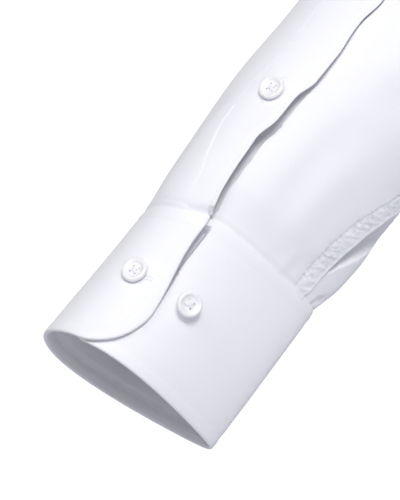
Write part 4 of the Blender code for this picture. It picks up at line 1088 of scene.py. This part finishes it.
def sleeve_columns(above):
    """Arm angles of the columns at a height over the cuff, turning to even steps at the armhole."""
    up = max(above, 0)
    seam, radius = seam_turn(up), radius_at(up)
    pleat = 2 * math.pi + first_pleat_turn(up)
    moving = {
        "seam": seam,
        "hollow": seam + math.radians(16),
        "pleat over placket": pleat,
        "pleat fold foot": pleat + 0.6 * MM / radius,
        "slit outer": 2 * math.pi + placket_turn(up, SLIT_OUTER),
        "slit inner": 2 * math.pi + placket_turn(up, SLIT_INNER),
        "placket edge": 2 * math.pi + placket_turn(up, 0),
        "mouth border": 2 * math.pi + placket_turn(up, -4.0 * MM),
        "fell top": 2 * math.pi + seam - (SLEEVE_FELL + 1 * MM) / radius,
        "fell fold": 2 * math.pi + seam - 1.2 * MM / radius,
    }
    angles = [
        moving[line.name] if line.cuff_angle is None else math.radians(line.cuff_angle)
        for line in SLEEVE_LINES
    ]
    count = line_starts[-1]
    fine = np.interp(np.arange(count), line_starts, angles + [angles[0] + 2 * math.pi])
    even = math.pi / 2 + np.arange(count) * 2 * math.pi / count
    return fine + (even - fine) * ramp(above, 0.150, 0.330)


lower_alongs = SLEEVE - sleeve_rows_up * MM
upper_alongs = np.linspace(lower_alongs[-1], 0, UPPER_ROWS + 1)[1:]
sleeve_rows = np.concatenate([lower_alongs, upper_alongs])
sleeve_turns = np.array([sleeve_columns(SLEEVE - along) for along in sleeve_rows])
sleeve_alongs = np.repeat(sleeve_rows[:, None], sleeve_turns.shape[1], axis=1)
sleeve_above = SLEEVE - sleeve_alongs
column_numbers = np.arange(sleeve_turns.shape[1])
sleeve_out = sleeve_normal(sleeve_turns, sleeve_alongs)
lapped = column_numbers <= line_start["slit outer"]
sleeve_lift = lap_lift(sleeve_turns, sleeve_above) * lapped
sleeve_lift = sleeve_lift - 0.55 * MM * ramp(sleeve_above, 0.0025, -0.0005)
sleeve_face = sleeve(sleeve_turns, sleeve_alongs) + sleeve_out * sleeve_lift[..., None]
slit = (column_numbers >= line_start["slit outer"]) & (column_numbers < line_start["slit inner"])
slit_cells = slit[None, :] & (sleeve_above[:-1] < SLIT_LENGTH)
# Painted shade on the felled seam's band, standing in for the shadows between its puckers: darkest
# beside its first row of stitches, where the seam draws it up most tightly, lighter towards its
# fold and near the cuff, gone on the upper arm, and uneven along it.
fell_over = within(sleeve_turns - seam_turn(sleeve_above)) * radius_at(sleeve_above) / MM
fell_edge = -SLEEVE_FELL / MM
fell_painted_shade = ramp(fell_over, fell_edge - 0.4, fell_edge + 0.9) * ramp(fell_over, 0.2, -0.4)
fell_painted_shade = fell_painted_shade * (1 - 0.55 * ramp(fell_over, -3.4, -0.8)) * ramp(sleeve_above, 0.330, 0.200)
fell_painted_shade = fell_painted_shade * (0.45 + 0.55 * ramp(sleeve_above, 0.006, 0.020))
fell_painted_shade = fell_painted_shade * np.clip(0.85 + 0.25 * puckers(sleeve_above / MM + 500, 5, 8.0), 0, 1)


def add_both(piece, node, faces, material, sheet, **cells):
    """The same cloth on the left and, mirrored, on the right."""
    for side, name in SIDES:
        add_cloth(f"{piece}_{name}", f"{node}_{name}", faces, material, sheet, side, **cells)


def sew_both(name, rows, **sizes):
    """The same stitches on the left and, mirrored, on the right."""
    sew(name, rows + [(mirrored(p, -1), mirrored(n, -1)) for p, n in rows], **sizes)


sleeve_faces = (sleeve_face, sleeve_face - sleeve_out * CLOTH)
sleeve_sheet = dict(flat=(0.46, 0.60), held="hung", area=0.20)
# The sleeves carry the felled seam's painted shade.
cells = dict(closed=True, left_out=slit_cells, drawn=fell_painted_shade)
add_both("sleeve_panel", "sleeve", sleeve_faces, SHIRTING, sleeve_sheet, **cells)

up = np.linspace(0.001, 0.330, 320)
fell_rows = []
for across in (1.4 * MM, SLEEVE_FELL - 1.2 * MM):
    turn = seam_turn(up) - across / radius_at(up)
    out = sleeve_normal(turn, SLEEVE - up)
    fell_rows.append((sleeve(turn, SLEEVE - up) + out * ON_CLOTH, out))
sew_both("underarm_stitches", fell_rows)
# The armhole's stitches lie out from its edge, on the body.
armhole = armhole_place(np.linspace(0, 2 * math.pi, 260))
hole_middle = torso(*armhole_place(np.radians([45.0, 135.0, 225.0, 315.0]))).mean(axis=0)
hole_edge, hole_out = torso(*armhole), torso_normal(*armhole)
hole_across = np.cross(hole_out, unit(np.gradient(hole_edge, axis=0)))
toward = np.sign(np.sum(hole_across * (hole_middle - hole_edge), axis=-1, keepdims=True))
hole_points = hole_edge - hole_across * toward * ARMHOLE_STITCH + hole_out * 0.3 * MM
sew_both("armhole_stitches", [(hole_points, hole_out)])

# ------------------------------------------------------------------------------------ the plackets
# A wide folded strip covers the slit, pointed at its top; its free edge springs off the sleeve
# between the cuff and its button. A narrow strip binds the slit's other edge underneath.

PLACKET_LENGTH, PLACKET_POINT = 152.0 * MM, 12.0 * MM
PLACKET_THICK = 0.9 * MM
PLACKET_STITCH = 1.6 * MM
PLACKET_TUCK = 1.5 * MM  # how far the strip runs in under the cuff
PLACKET_LIFT, PLACKET_SPRING, PLACKET_SINK = 0.6 * MM, 1.3 * MM, 1.25 * MM
BOX_LOW, BOX_SIDE, BOX_TOP = 118, 138, 149  # the stitched box at the point, in millimetres
UNDERLAP, UNDERLAP_DROP = 11.0 * MM, 3.4 * MM


def placket_place(across, above):
    """(middle of the strip's thickness, normals) on the placket, by distance in from its free
    edge, which springs up off the sleeve between the cuff and its button."""
    turn = placket_turn(above, across)
    plain = plain_normal(turn, SLEEVE - above)
    spring = bump(above, 0.046, 0.018) + 0.5 * bump(above, 0.014, 0.010)
    sprung = PLACKET_SPRING * spring * ramp(across, 9 * MM, 0)
    up = above / MM
    sewn = 0.20 * MM * puckers(up + 40, 21, 6.5) * ramp(across, PLACKET - 7 * MM, PLACKET)
    loose = 0.30 * MM * puckers(up, 22, 9.0) * ramp(across, 5 * MM, 0)
    lift = (PLACKET_LIFT + sprung + sewn + loose) * ramp(above, 0, 0.006)
    lift = lift - PLACKET_SINK * ramp(above, 0.004, 0) + lap_lift(np.full_like(turn, -1.0), above)
    return section(turn, SLEEVE - above, folds=False) + plain * lift[..., None], plain


edge_steps = np.array([0, 0.05, 0.18, 0.45, 0.8, 1.3])
strip_across = np.concatenate([edge_steps, np.linspace(2.0, 22.0, 17), 24 - edge_steps[::-1]]) * MM
strip_share = np.concatenate([np.linspace(0, 0.985, 118), [0.990, 0.995, 0.998, 1.0]])[:, None]
from_middle = np.abs(strip_across - PLACKET / 2) / (PLACKET / 2)
strip_top = (PLACKET_LENGTH - PLACKET_POINT * from_middle)[None, :]
strip_above = (strip_top + PLACKET_TUCK) * strip_share - PLACKET_TUCK
strip_wide = np.broadcast_to(strip_across, strip_above.shape)
strip_mid, strip_out = placket_place(strip_wide, np.maximum(strip_above, 1e-5))
strip_mid = strip_mid - DOWN_ARM * np.minimum(strip_above, 0)[..., None]
in_edge = np.minimum(strip_wide, PLACKET - strip_wide)
in_edge = np.minimum(in_edge, (strip_top - strip_above) * 0.7)
strip_half = rounded(in_edge, PLACKET_THICK) * (1 - 0.3 * bump(in_edge, PLACKET_STITCH, 0.6 * MM))
strip_faces = [strip_mid + s * strip_out * strip_half[..., None] for s in (1, -1)]

under_across = SLIT_INNER + GAP + UNDERLAP * np.linspace(1, 0, 9)
under_above = np.linspace(-0.001, SLIT_LENGTH - 2 * MM, 70)
under_across, under_above = np.meshgrid(under_across, under_above)
under_turn = placket_turn(under_above, under_across)
under_out = plain_normal(under_turn, SLEEVE - under_above)
under_face = section(under_turn, SLEEVE - under_above, folds=False) - under_out * UNDERLAP_DROP
under_faces = (under_face, under_face - under_out * CLOTH)
strip_sheet = dict(flat=(0.025, 0.155), held="stretched")
add_both("placket_strip", "placket", strip_faces, SHIRTING, strip_sheet)
under_sheet = dict(flat=(0.011, 0.131), held="stretched")
add_both("underlap_strip", "underlap", under_faces, SHIRTING, under_sheet)


def placket_row(across, above, lift):
    """(points, normals) of a row of stitches on the placket."""
    mid, out = placket_place(across, above)
    return mid + out * lift, out


edge_rows = np.linspace(0.001, BOX_SIDE * MM, 130)
rows = [(np.full(130, across), edge_rows) for across in (PLACKET_STITCH, PLACKET - PLACKET_STITCH)]
near, far = PLACKET_STITCH / MM, (PLACKET - PLACKET_STITCH) / MM
box = [(near, BOX_SIDE), (12, BOX_TOP), (far, BOX_SIDE), (far, BOX_LOW), (near, BOX_LOW)]
legs = np.concatenate([np.linspace(a, b, 12) for a, b in zip(box, box[1:])]) * MM
rows.append((legs[:, 0], legs[:, 1]))
sew_both("placket_stitches", [placket_row(*row, PLACKET_THICK * 0.42) for row in rows])
tack = placket_row(np.linspace(0.2, 1.2, 7) * MM, np.linspace(0.0012, 0.0048, 7), 0.7 * MM)
tacking = dict(pitch=0.62, length=2.3, width=0.7, height=0.7, turn=1.45)
sew_both("placket_bartack", [tack], **tacking)

# ------------------------------------------------------------------------------------ the cuffs
# Barrel cuffs of two layers of poplin with interlining, round-cornered, lapped at the back of the
# wrist, and stitched 6 mm inside every edge.

CUFF_LAP = 30.0 * MM
CUFF_CORNER = 20.0 * MM
CUFF_STITCH = 6.0 * MM
CUFF_PRESSED = 0.3956 * INTERLINED  # half of the cuff's thickness where stitches press it in
CUFF_COLUMNS = 170
LAPPED_END = math.radians(-230)  # past this, the cuff runs in under its own lapped end
UNDER_START = math.radians(-32)
WRIST = SECTIONS[-1].half_width
# The lapped edge: degrees round the arm, by height over the mouth.
LAP_EDGE = table(
    "up edge",
    (0.000, -22.5),
    (0.014, -22.5),
    (0.022, -21.6),
    (0.028, -22.6),
    (0.036, -24.8),
    (0.044, -27.4),
    (0.052, -29.6),
    (0.060, -30.7),
    (0.067, -30.9),
    (0.071, -31.6),
)


def lap_edge(up):
    return np.radians(column(LAP_EDGE, "edge", up))


def cuff_ends(up):
    """Arm angles of the cuff's lapped edge and of its under edge, rounded at the mouth corners."""
    corner = CUFF_CORNER - np.sqrt(CUFF_CORNER**2 - np.maximum(CUFF_CORNER - up, 0) ** 2)
    under = UNDER_START - 2 * math.pi - (CUFF_LAP - corner) / WRIST
    return lap_edge(up) - corner / WRIST, under


def cuff_lift(turn, up):
    """How far the cuff stands off its section: the lap, its edge springing between buttons, and
    the fall of the layer beneath beside that edge."""
    lapped = turn > LAPPED_END
    lift = lap_lift(np.maximum(turn, -2 * math.pi), np.zeros_like(turn))
    lift = np.where(turn < LAPPED_END, 0, lift)
    from_edge = (cuff_ends(up)[0] - turn) * WRIST
    spring = 0.8 * ramp(up, 0.0675, 0.0645) * ramp(up, 0.040, 0.060) + 0.35 * bump(up, 0.004, 0.012)
    lift = lift + MM * spring * ramp(from_edge, 14 * MM, 0) * lapped
    beside = 2 * math.pi * WRIST - from_edge
    wide = MM * (0.4 + 0.3 * ramp(up, 0.030, 0.046) + 1.6 * ramp(up, 0.046, 0.061))
    fall = ramp(beside, wide + 0.7 * MM, wide) * ramp(beside, -9 * MM, -4 * MM)
    deep = MM * (0.4 + 4.6 * ramp(up, 0.024, 0.056) * ramp(up, 0.0668, 0.0650))
    return lift - deep * fall * ~lapped


def cuff_place(turn, up):
    """(outer face, normals) of the cuff at an arm angle and a height over the mouth."""
    along = np.maximum(SLEEVE + CUFF - up, SLEEVE + 0.01 * MM)
    out = plain_normal(turn, along)
    return section(turn, along, folds=False) + out * cuff_lift(turn, up)[..., None], out


def in_from_cuff_edge(turn, up):
    """The distance in from the nearest edge of the cuff, corners included."""
    over = (lap_edge(up) - turn) * WRIST
    under = (turn - UNDER_START + 2 * math.pi) * WRIST + CUFF_LAP
    side = np.minimum(over, under)
    round_in = CUFF_CORNER - np.hypot(CUFF_CORNER - side, CUFF_CORNER - up)
    near = np.where((side < CUFF_CORNER) & (up < CUFF_CORNER), round_in, np.minimum(side, up))
    return np.maximum(np.minimum(near, CUFF - up), 0)


def seam_square(out):
    """Normals laid in the plane of the cuff seam, so that what meets there ends square to it."""
    plane = unit(np.cross(BACKWARD, TO_BODY + column(SECTIONS, "skew", SLEEVE) * DOWN_ARM))
    return unit(out - np.sum(out * plane, axis=-1, keepdims=True) * plane)


mouth_steps = [0, 0.06, 0.22, 0.5, 0.9, 1.5, 2.4]
seam_steps = [68.6, 69.5, 70.1, 70.5, 70.78, 70.94, 71]
cuff_ups = MM * np.concatenate([mouth_steps, np.linspace(3.5, 67.5, 42), seam_steps])
near_end = np.array([0, 0.0003, 0.001, 0.0022, 0.004, 0.007])
beside_lap = np.linspace(0.845, 0.900, 36) + 0.0003
even_shares = np.linspace(0.011, 0.989, CUFF_COLUMNS)
cuff_shares = np.sort(np.concatenate([near_end, even_shares, 1 - near_end, beside_lap]))
cuff_edge, cuff_under = cuff_ends(cuff_ups)
cuff_turns = cuff_edge[:, None] + (cuff_under - cuff_edge)[:, None] * cuff_shares
cuff_up = np.repeat(cuff_ups[:, None], cuff_turns.shape[1], axis=1)
cuff_outer, cuff_out = cuff_place(cuff_turns, cuff_up)
cuff_out[-1] = seam_square(cuff_out[-1])
cuff_in = in_from_cuff_edge(cuff_turns, cuff_up)
cuff_mid = cuff_outer - cuff_out * (INTERLINED / 2)
cuff_puff = 1 + 0.15 * bump(cuff_in, 3.2 * MM, 1.6 * MM) - 0.3 * bump(cuff_in, CUFF_STITCH, 0.9 * MM)
cuff_half = rounded(cuff_in, INTERLINED) * cuff_puff * (1 - 0.3 * ramp(cuff_up, CUFF - 6 * MM, CUFF))
inner_half = cuff_half - 0.5 * MM * bump(cuff_in, CUFF_STITCH, 0.8 * MM)
cuff_faces = [cuff_mid + cuff_out * half[..., None] for half in (cuff_half, -inner_half)]
cuff_sheet = dict(flat=(0.285, 0.071), held="stretched")
add_both("barrel_cuff", "cuff", cuff_faces, STIFF, cuff_sheet)

# The stitches run down inside the lapped edge, round the corner and along the mouth, and then
# along the top, on both faces.
round_corner = np.linspace(0, math.pi / 2, 14)
small = CUFF_CORNER - CUFF_STITCH
down_edge = np.linspace(CUFF - CUFF_STITCH, CUFF_CORNER, 40)
path_up = np.concatenate([down_edge, CUFF_CORNER - small * np.sin(round_corner)])
path_in = np.concatenate([np.full(40, CUFF_STITCH), CUFF_CORNER - small * np.cos(round_corner)])
path_turn = lap_edge(path_up) - path_in / WRIST
last_turn = UNDER_START - 2 * math.pi - (CUFF_LAP - CUFF_CORNER) / WRIST
path_turn = np.concatenate([path_turn, np.linspace(path_turn[-1], last_turn, 200)[1:]])
path_up = np.concatenate([path_up, np.full(199, CUFF_STITCH)])
top_turn = np.linspace(math.radians(-31) - CUFF_STITCH / WRIST, last_turn, 220)
cuff_rows = []
for face in (1, -1):
    for turn, up in ((path_turn, path_up), (top_turn, np.full(220, CUFF - CUFF_STITCH))):
        at, out = cuff_place(turn, up)
        cuff_rows.append((at + out * (face * CUFF_PRESSED - INTERLINED / 2), out * face))
sew_both("cuff_stitches", cuff_rows)

# ------------------------------------------------------------------------------------ the buttons
# Four-hole shirt buttons of pearly polyester resin, 11 mm across: a raised rounded rim, a dished
# middle, and crossed thread. Each sits on its own buttonhole, except the second on each cuff.

BUTTON = 11.0 * MM
BUTTON_THICK = 2.4 * MM
BUTTON_SIDES = 44
HOLE_RADIUS, HOLE_REACH = 0.5 * MM, 1.25 * MM
BRIDGE_THICK, BRIDGE_SIDES = 0.34 * MM, 6
GAUNTLET_UP, GAUNTLET_IN = 56.0 * MM, 10.5 * MM
CUFF_BUTTON_UP = 35.5 * MM
CUFF_BUTTONS = (-47.0, -10.0)  # degrees round the arm
STAND_BUTTON_UP = 0.45  # of the stand's height
# Cast with pearl pigment, the resin is milky white, hard and glossy, and faintly clouded.
PEARL = {"Roughness": 0.28, "IOR": 1.54, "Coat Weight": 0.3, "Coat Roughness": 0.12}
PEARL_CLOUD = dict(Scale=320, Detail=3.0, Distortion=1.5)
RESIN = clouded("pearly polyester resin", PEARL, "#EEEDF0", "#FBFBFC", **PEARL_CLOUD)
# The button's profile, in shares of its radius and its thickness.
PROFILE = (
    (0.70, 0.00),
    (0.86, 0.06),
    (0.97, 0.28),
    (1.00, 0.48),
    (0.99, 0.70),
    (0.95, 0.88),
    (0.88, 0.98),
    (0.80, 1.00),
    (0.72, 0.94),
    (0.65, 0.80),
    (0.58, 0.68),
    (0.46, 0.62),
    (0.24, 0.60),
)


def tube_faces(work, rings):
    """Joins rings of vertices into a tube."""
    for low, high in zip(rings, rings[1:]):
        for i in range(len(low)):
            n = (i + 1) % len(low)
            work.faces.new((low[i], low[n], high[n], high[i]))


def finished(work, name):
    mesh = bpy.data.meshes.new(name)
    work.to_mesh(mesh)
    work.free()
    return mesh


def button_mesh():
    """One button, its underside on z = 0, turned from a profile, with four drilled holes."""
    work = bmesh.new()
    steps = [2 * math.pi * i / BUTTON_SIDES for i in range(BUTTON_SIDES)]
    rings = []
    for r, z in PROFILE:
        ring = [(r * BUTTON / 2 * math.cos(t), r * BUTTON / 2 * math.sin(t)) for t in steps]
        rings.append([work.verts.new((x, y, z * BUTTON_THICK)) for x, y in ring])
    tube_faces(work, rings)
    work.faces.new(list(reversed(rings[0])))
    work.faces.new(rings[-1])
    blank = add_object("turned button", finished(work, "turned button"))
    helpers = [blank]
    for x, y in ((1, 1), (1, -1), (-1, -1), (-1, 1)):
        work = bmesh.new()
        drill = dict(radius1=HOLE_RADIUS, radius2=HOLE_RADIUS, depth=3 * BUTTON_THICK)
        bmesh.ops.create_cone(work, cap_ends=True, segments=14, **drill)
        place = (x * HOLE_REACH, y * HOLE_REACH, 0)
        bmesh.ops.translate(work, verts=work.verts, vec=place)
        helpers.append(add_object("drill", finished(work, "drill")))
        cut = blank.modifiers.new("hole", "BOOLEAN")
        cut.operation = "DIFFERENCE"
        cut.object = helpers[-1]
    bpy.context.view_layer.update()
    drilled = blank.evaluated_get(bpy.context.evaluated_depsgraph_get())
    made = bpy.data.meshes.new_from_object(drilled)
    for helper in helpers:
        bpy.data.objects.remove(helper)
    made.shade_smooth()
    made.set_sharp_from_angle(angle=math.radians(38))
    made.materials.clear()
    made.materials.append(RESIN)
    return made


def thread_mesh():
    """Two bridges of doubled thread that cross between the holes, in the button's own frame."""
    work = bmesh.new()
    turns = [2 * math.pi * i / BRIDGE_SIDES for i in range(BRIDGE_SIDES)]
    for sign in (1, -1):
        side = Vector((-sign, 1, 0)).normalized()
        for shift in (-0.24 * MM, 0.24 * MM):
            rings = []
            for t in np.linspace(-1, 1, 9):
                reach = 1.08 * HOLE_REACH * t
                arch = (0.30 * BUTTON_THICK + 0.1 * MM * sign) * math.sqrt(max(1 - t**4, 0))
                x, y = reach - shift * sign * 0.7, reach * sign + shift * 0.7
                middle = Vector((x, y, 0.45 * BUTTON_THICK + arch))
                ring = [side * math.cos(a) + Vector((0, 0, math.sin(a))) for a in turns]
                rings.append([work.verts.new(middle + out * BRIDGE_THICK) for out in ring])
            tube_faces(work, rings)
            work.faces.new(rings[0])
            work.faces.new(rings[-1])
    bmesh.ops.recalc_face_normals(work, faces=work.faces)
    mesh = finished(work, "button thread")
    mesh.shade_smooth()
    mesh.materials.append(THREAD)
    return mesh


BUTTON_MESH, THREAD_MESH = button_mesh(), thread_mesh()


def add_button(name, node, place, out, across, side=1):
    """A button and its thread lying on `place`, its face along `out`."""
    place, out, across = [mirrored(v, side) for v in (place, out, across)]
    across = unit(across - out * np.dot(across, out))
    stand = np.eye(4)
    stand[:3, 0], stand[:3, 1], stand[:3, 2] = across, np.cross(out, across), out
    stand[:3, 3] = place + out * GAP
    for mesh, title in ((BUTTON_MESH, name), (THREAD_MESH, name + "_thread")):
        own = mesh.copy()
        own.name = title
        own.transform(Matrix([list(row) for row in stand]))
        piece = add_object(title, own)
        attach(piece, "root")
        if mesh is BUTTON_MESH:
            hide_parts(node)


nought, level = np.zeros(1), np.array([1.0, 0, 0])
for number in range(FRONT_BUTTONS):
    at = np.array([centre_rise(FIRST_BUTTON_Z - BUTTON_SPACING * number)])
    out = torso_normal(nought, at)[0]
    place = torso(nought, at)[0] + out * (band_top + 0.1 * MM)
    add_button(f"shirt_button_{number + 1}", f"button_front_{number + 1}", place, out, level)
place = stand_point(nought, np.array([STAND_BUTTON_UP]), np.array([INTERLINED + 2 * GAP]))[0]
add_button("neck_button", "button_collar", place, unit(np.array([0, -1.0, -0.08])), level)

hole_up = GAUNTLET_UP + np.linspace(-7, 7, 10) * MM
rows = [(np.full(10, GAUNTLET_IN + across), hole_up) for across in HOLE_SIDES]
gauntlet_hole = [placket_row(*row, PLACKET_THICK * 0.5) for row in rows]
sew_both("placket_buttonhole", gauntlet_hole, **SATIN)
hole_turn = np.radians(CUFF_BUTTONS[0]) + np.linspace(-5.5, 8.5, 12) * MM / WRIST
cuff_hole = [cuff_place(hole_turn, np.full(12, CUFF_BUTTON_UP + across)) for across in HOLE_SIDES]
sew_both("cuff_buttonhole", cuff_hole, **SATIN)
at, out = placket_row(np.array([GAUNTLET_IN]), np.array([GAUNTLET_UP]), PLACKET_THICK / 2)
places = [("placket_button_{}", "button_gauntlet_{}", at[0], out[0])]
for number, degrees in enumerate(CUFF_BUTTONS, 1):
    at, out = cuff_place(np.radians([degrees]), np.array([CUFF_BUTTON_UP]))
    places.append((f"wrist_button_{{}}_{number}", f"button_cuff_{{}}_{number}", at[0], out[0]))
for side, name in SIDES:
    for title, node, at, out in places:
        add_button(title.format(name), node.format(name), at, out, DOWN_ARM, side)

# ------------------------------------------------------------------------------------ the studio
# A plain pale floor where a wearer would stand, a bright even surround, and three large soft lamps:
# the main one high behind the left arm, a weaker one beside it, and one in front.

FLOOR_Z, FLOOR_REACH = -1.42, 6.0
AIM = Vector((0.5428, 0.0, -0.5421))
CAMERA_TURN, CAMERA_RISE, CAMERA_REACH = math.radians(166.8), math.radians(-11.5), 1.6
LENS, SENSOR_HEIGHT = 276.5, 36  # millimetres
SURROUND, BRIGHT_PATCH = 0.35, 0.86  # the surround's strength, and what its bright patch adds
LAMPS = table(
    "name place aim size power",
    ("main lamp", (1.2, 6.1, 1.8), AIM, 2.4, 240),
    ("side lamp", (4.0, 3.5, 2.7), AIM, 2.2, 60),
    ("front lamp", (-3.4, -4.6, 2.8), Vector((0, 0, -0.3)), 1.8, 190),
)

# The floor's paint is matt grey-white, rolled, with a faint unevenness.
PAINT = clouded(
    "matt studio floor paint", {"Roughness": 0.9}, "#C6C7CD", "#CACBD1", Scale=30, Detail=4.0
)
floor_mesh = bpy.data.meshes.new("floor")
ends = [(x * FLOOR_REACH, y * FLOOR_REACH, FLOOR_Z) for x, y in ((-1, -1), (1, -1), (1, 1), (-1, 1))]
floor_mesh.from_pydata(ends, [], [(0, 1, 2, 3)])
floor_mesh.materials.append(PAINT)
add_object("floor", floor_mesh)

# The surround is brightest low down in front of the shirt.
world = bpy.data.worlds.new("bright surround")
world.use_nodes = True
tree = world.node_tree
where = add_node(tree, "ShaderNodeTexCoord").outputs["Generated"]
apart = add_node(tree, "ShaderNodeSeparateXYZ", {"Vector": where})
fades = []
for axis, low, high in (("Y", -0.70, -0.88), ("Z", 0.7, 0.42)):
    reach = {"Value": apart.outputs[axis], "From Min": low, "From Max": high}
    fades.append(add_node(tree, "ShaderNodeMapRange", reach))
patch = add_node(tree, "ShaderNodeMath", {0: fades[0], 1: fades[1]}, operation="MULTIPLY")
strength = {0: patch, 1: BRIGHT_PATCH, 2: SURROUND}
strength = add_node(tree, "ShaderNodeMath", strength, operation="MULTIPLY_ADD")
tree.links.new(strength.outputs[0], tree.nodes["Background"].inputs["Strength"])
tree.nodes["Background"].inputs["Color"].default_value = (0.965, 0.965, 1.0, 1)
bpy.context.scene.world = world
for lamp in LAMPS:
    light = bpy.data.lights.new(lamp.name, "AREA")
    light.shape = "DISK"
    light.size = lamp.size
    light.energy = lamp.power
    stand = add_object(lamp.name, light)
    stand.location = lamp.place
    stand.rotation_euler = (Vector(lamp.place) - lamp.aim).to_track_quat("Z", "Y").to_euler()
bpy.context.scene.view_settings.view_transform = "Standard"

camera_data = bpy.data.cameras.new("camera")
camera_data.sensor_fit = "VERTICAL"
camera_data.sensor_height = SENSOR_HEIGHT
camera_data.lens = LENS
camera = add_object("camera", camera_data)
level_reach = math.cos(CAMERA_RISE)
toward_camera = Vector(
    (math.sin(CAMERA_TURN) * level_reach, -math.cos(CAMERA_TURN) * level_reach, math.sin(CAMERA_RISE))
)
camera.location = AIM + toward_camera * CAMERA_REACH
camera.rotation_euler = toward_camera.to_track_quat("Z", "Y").to_euler()
bpy.context.scene.camera = camera

bpy.context.view_layer.update()
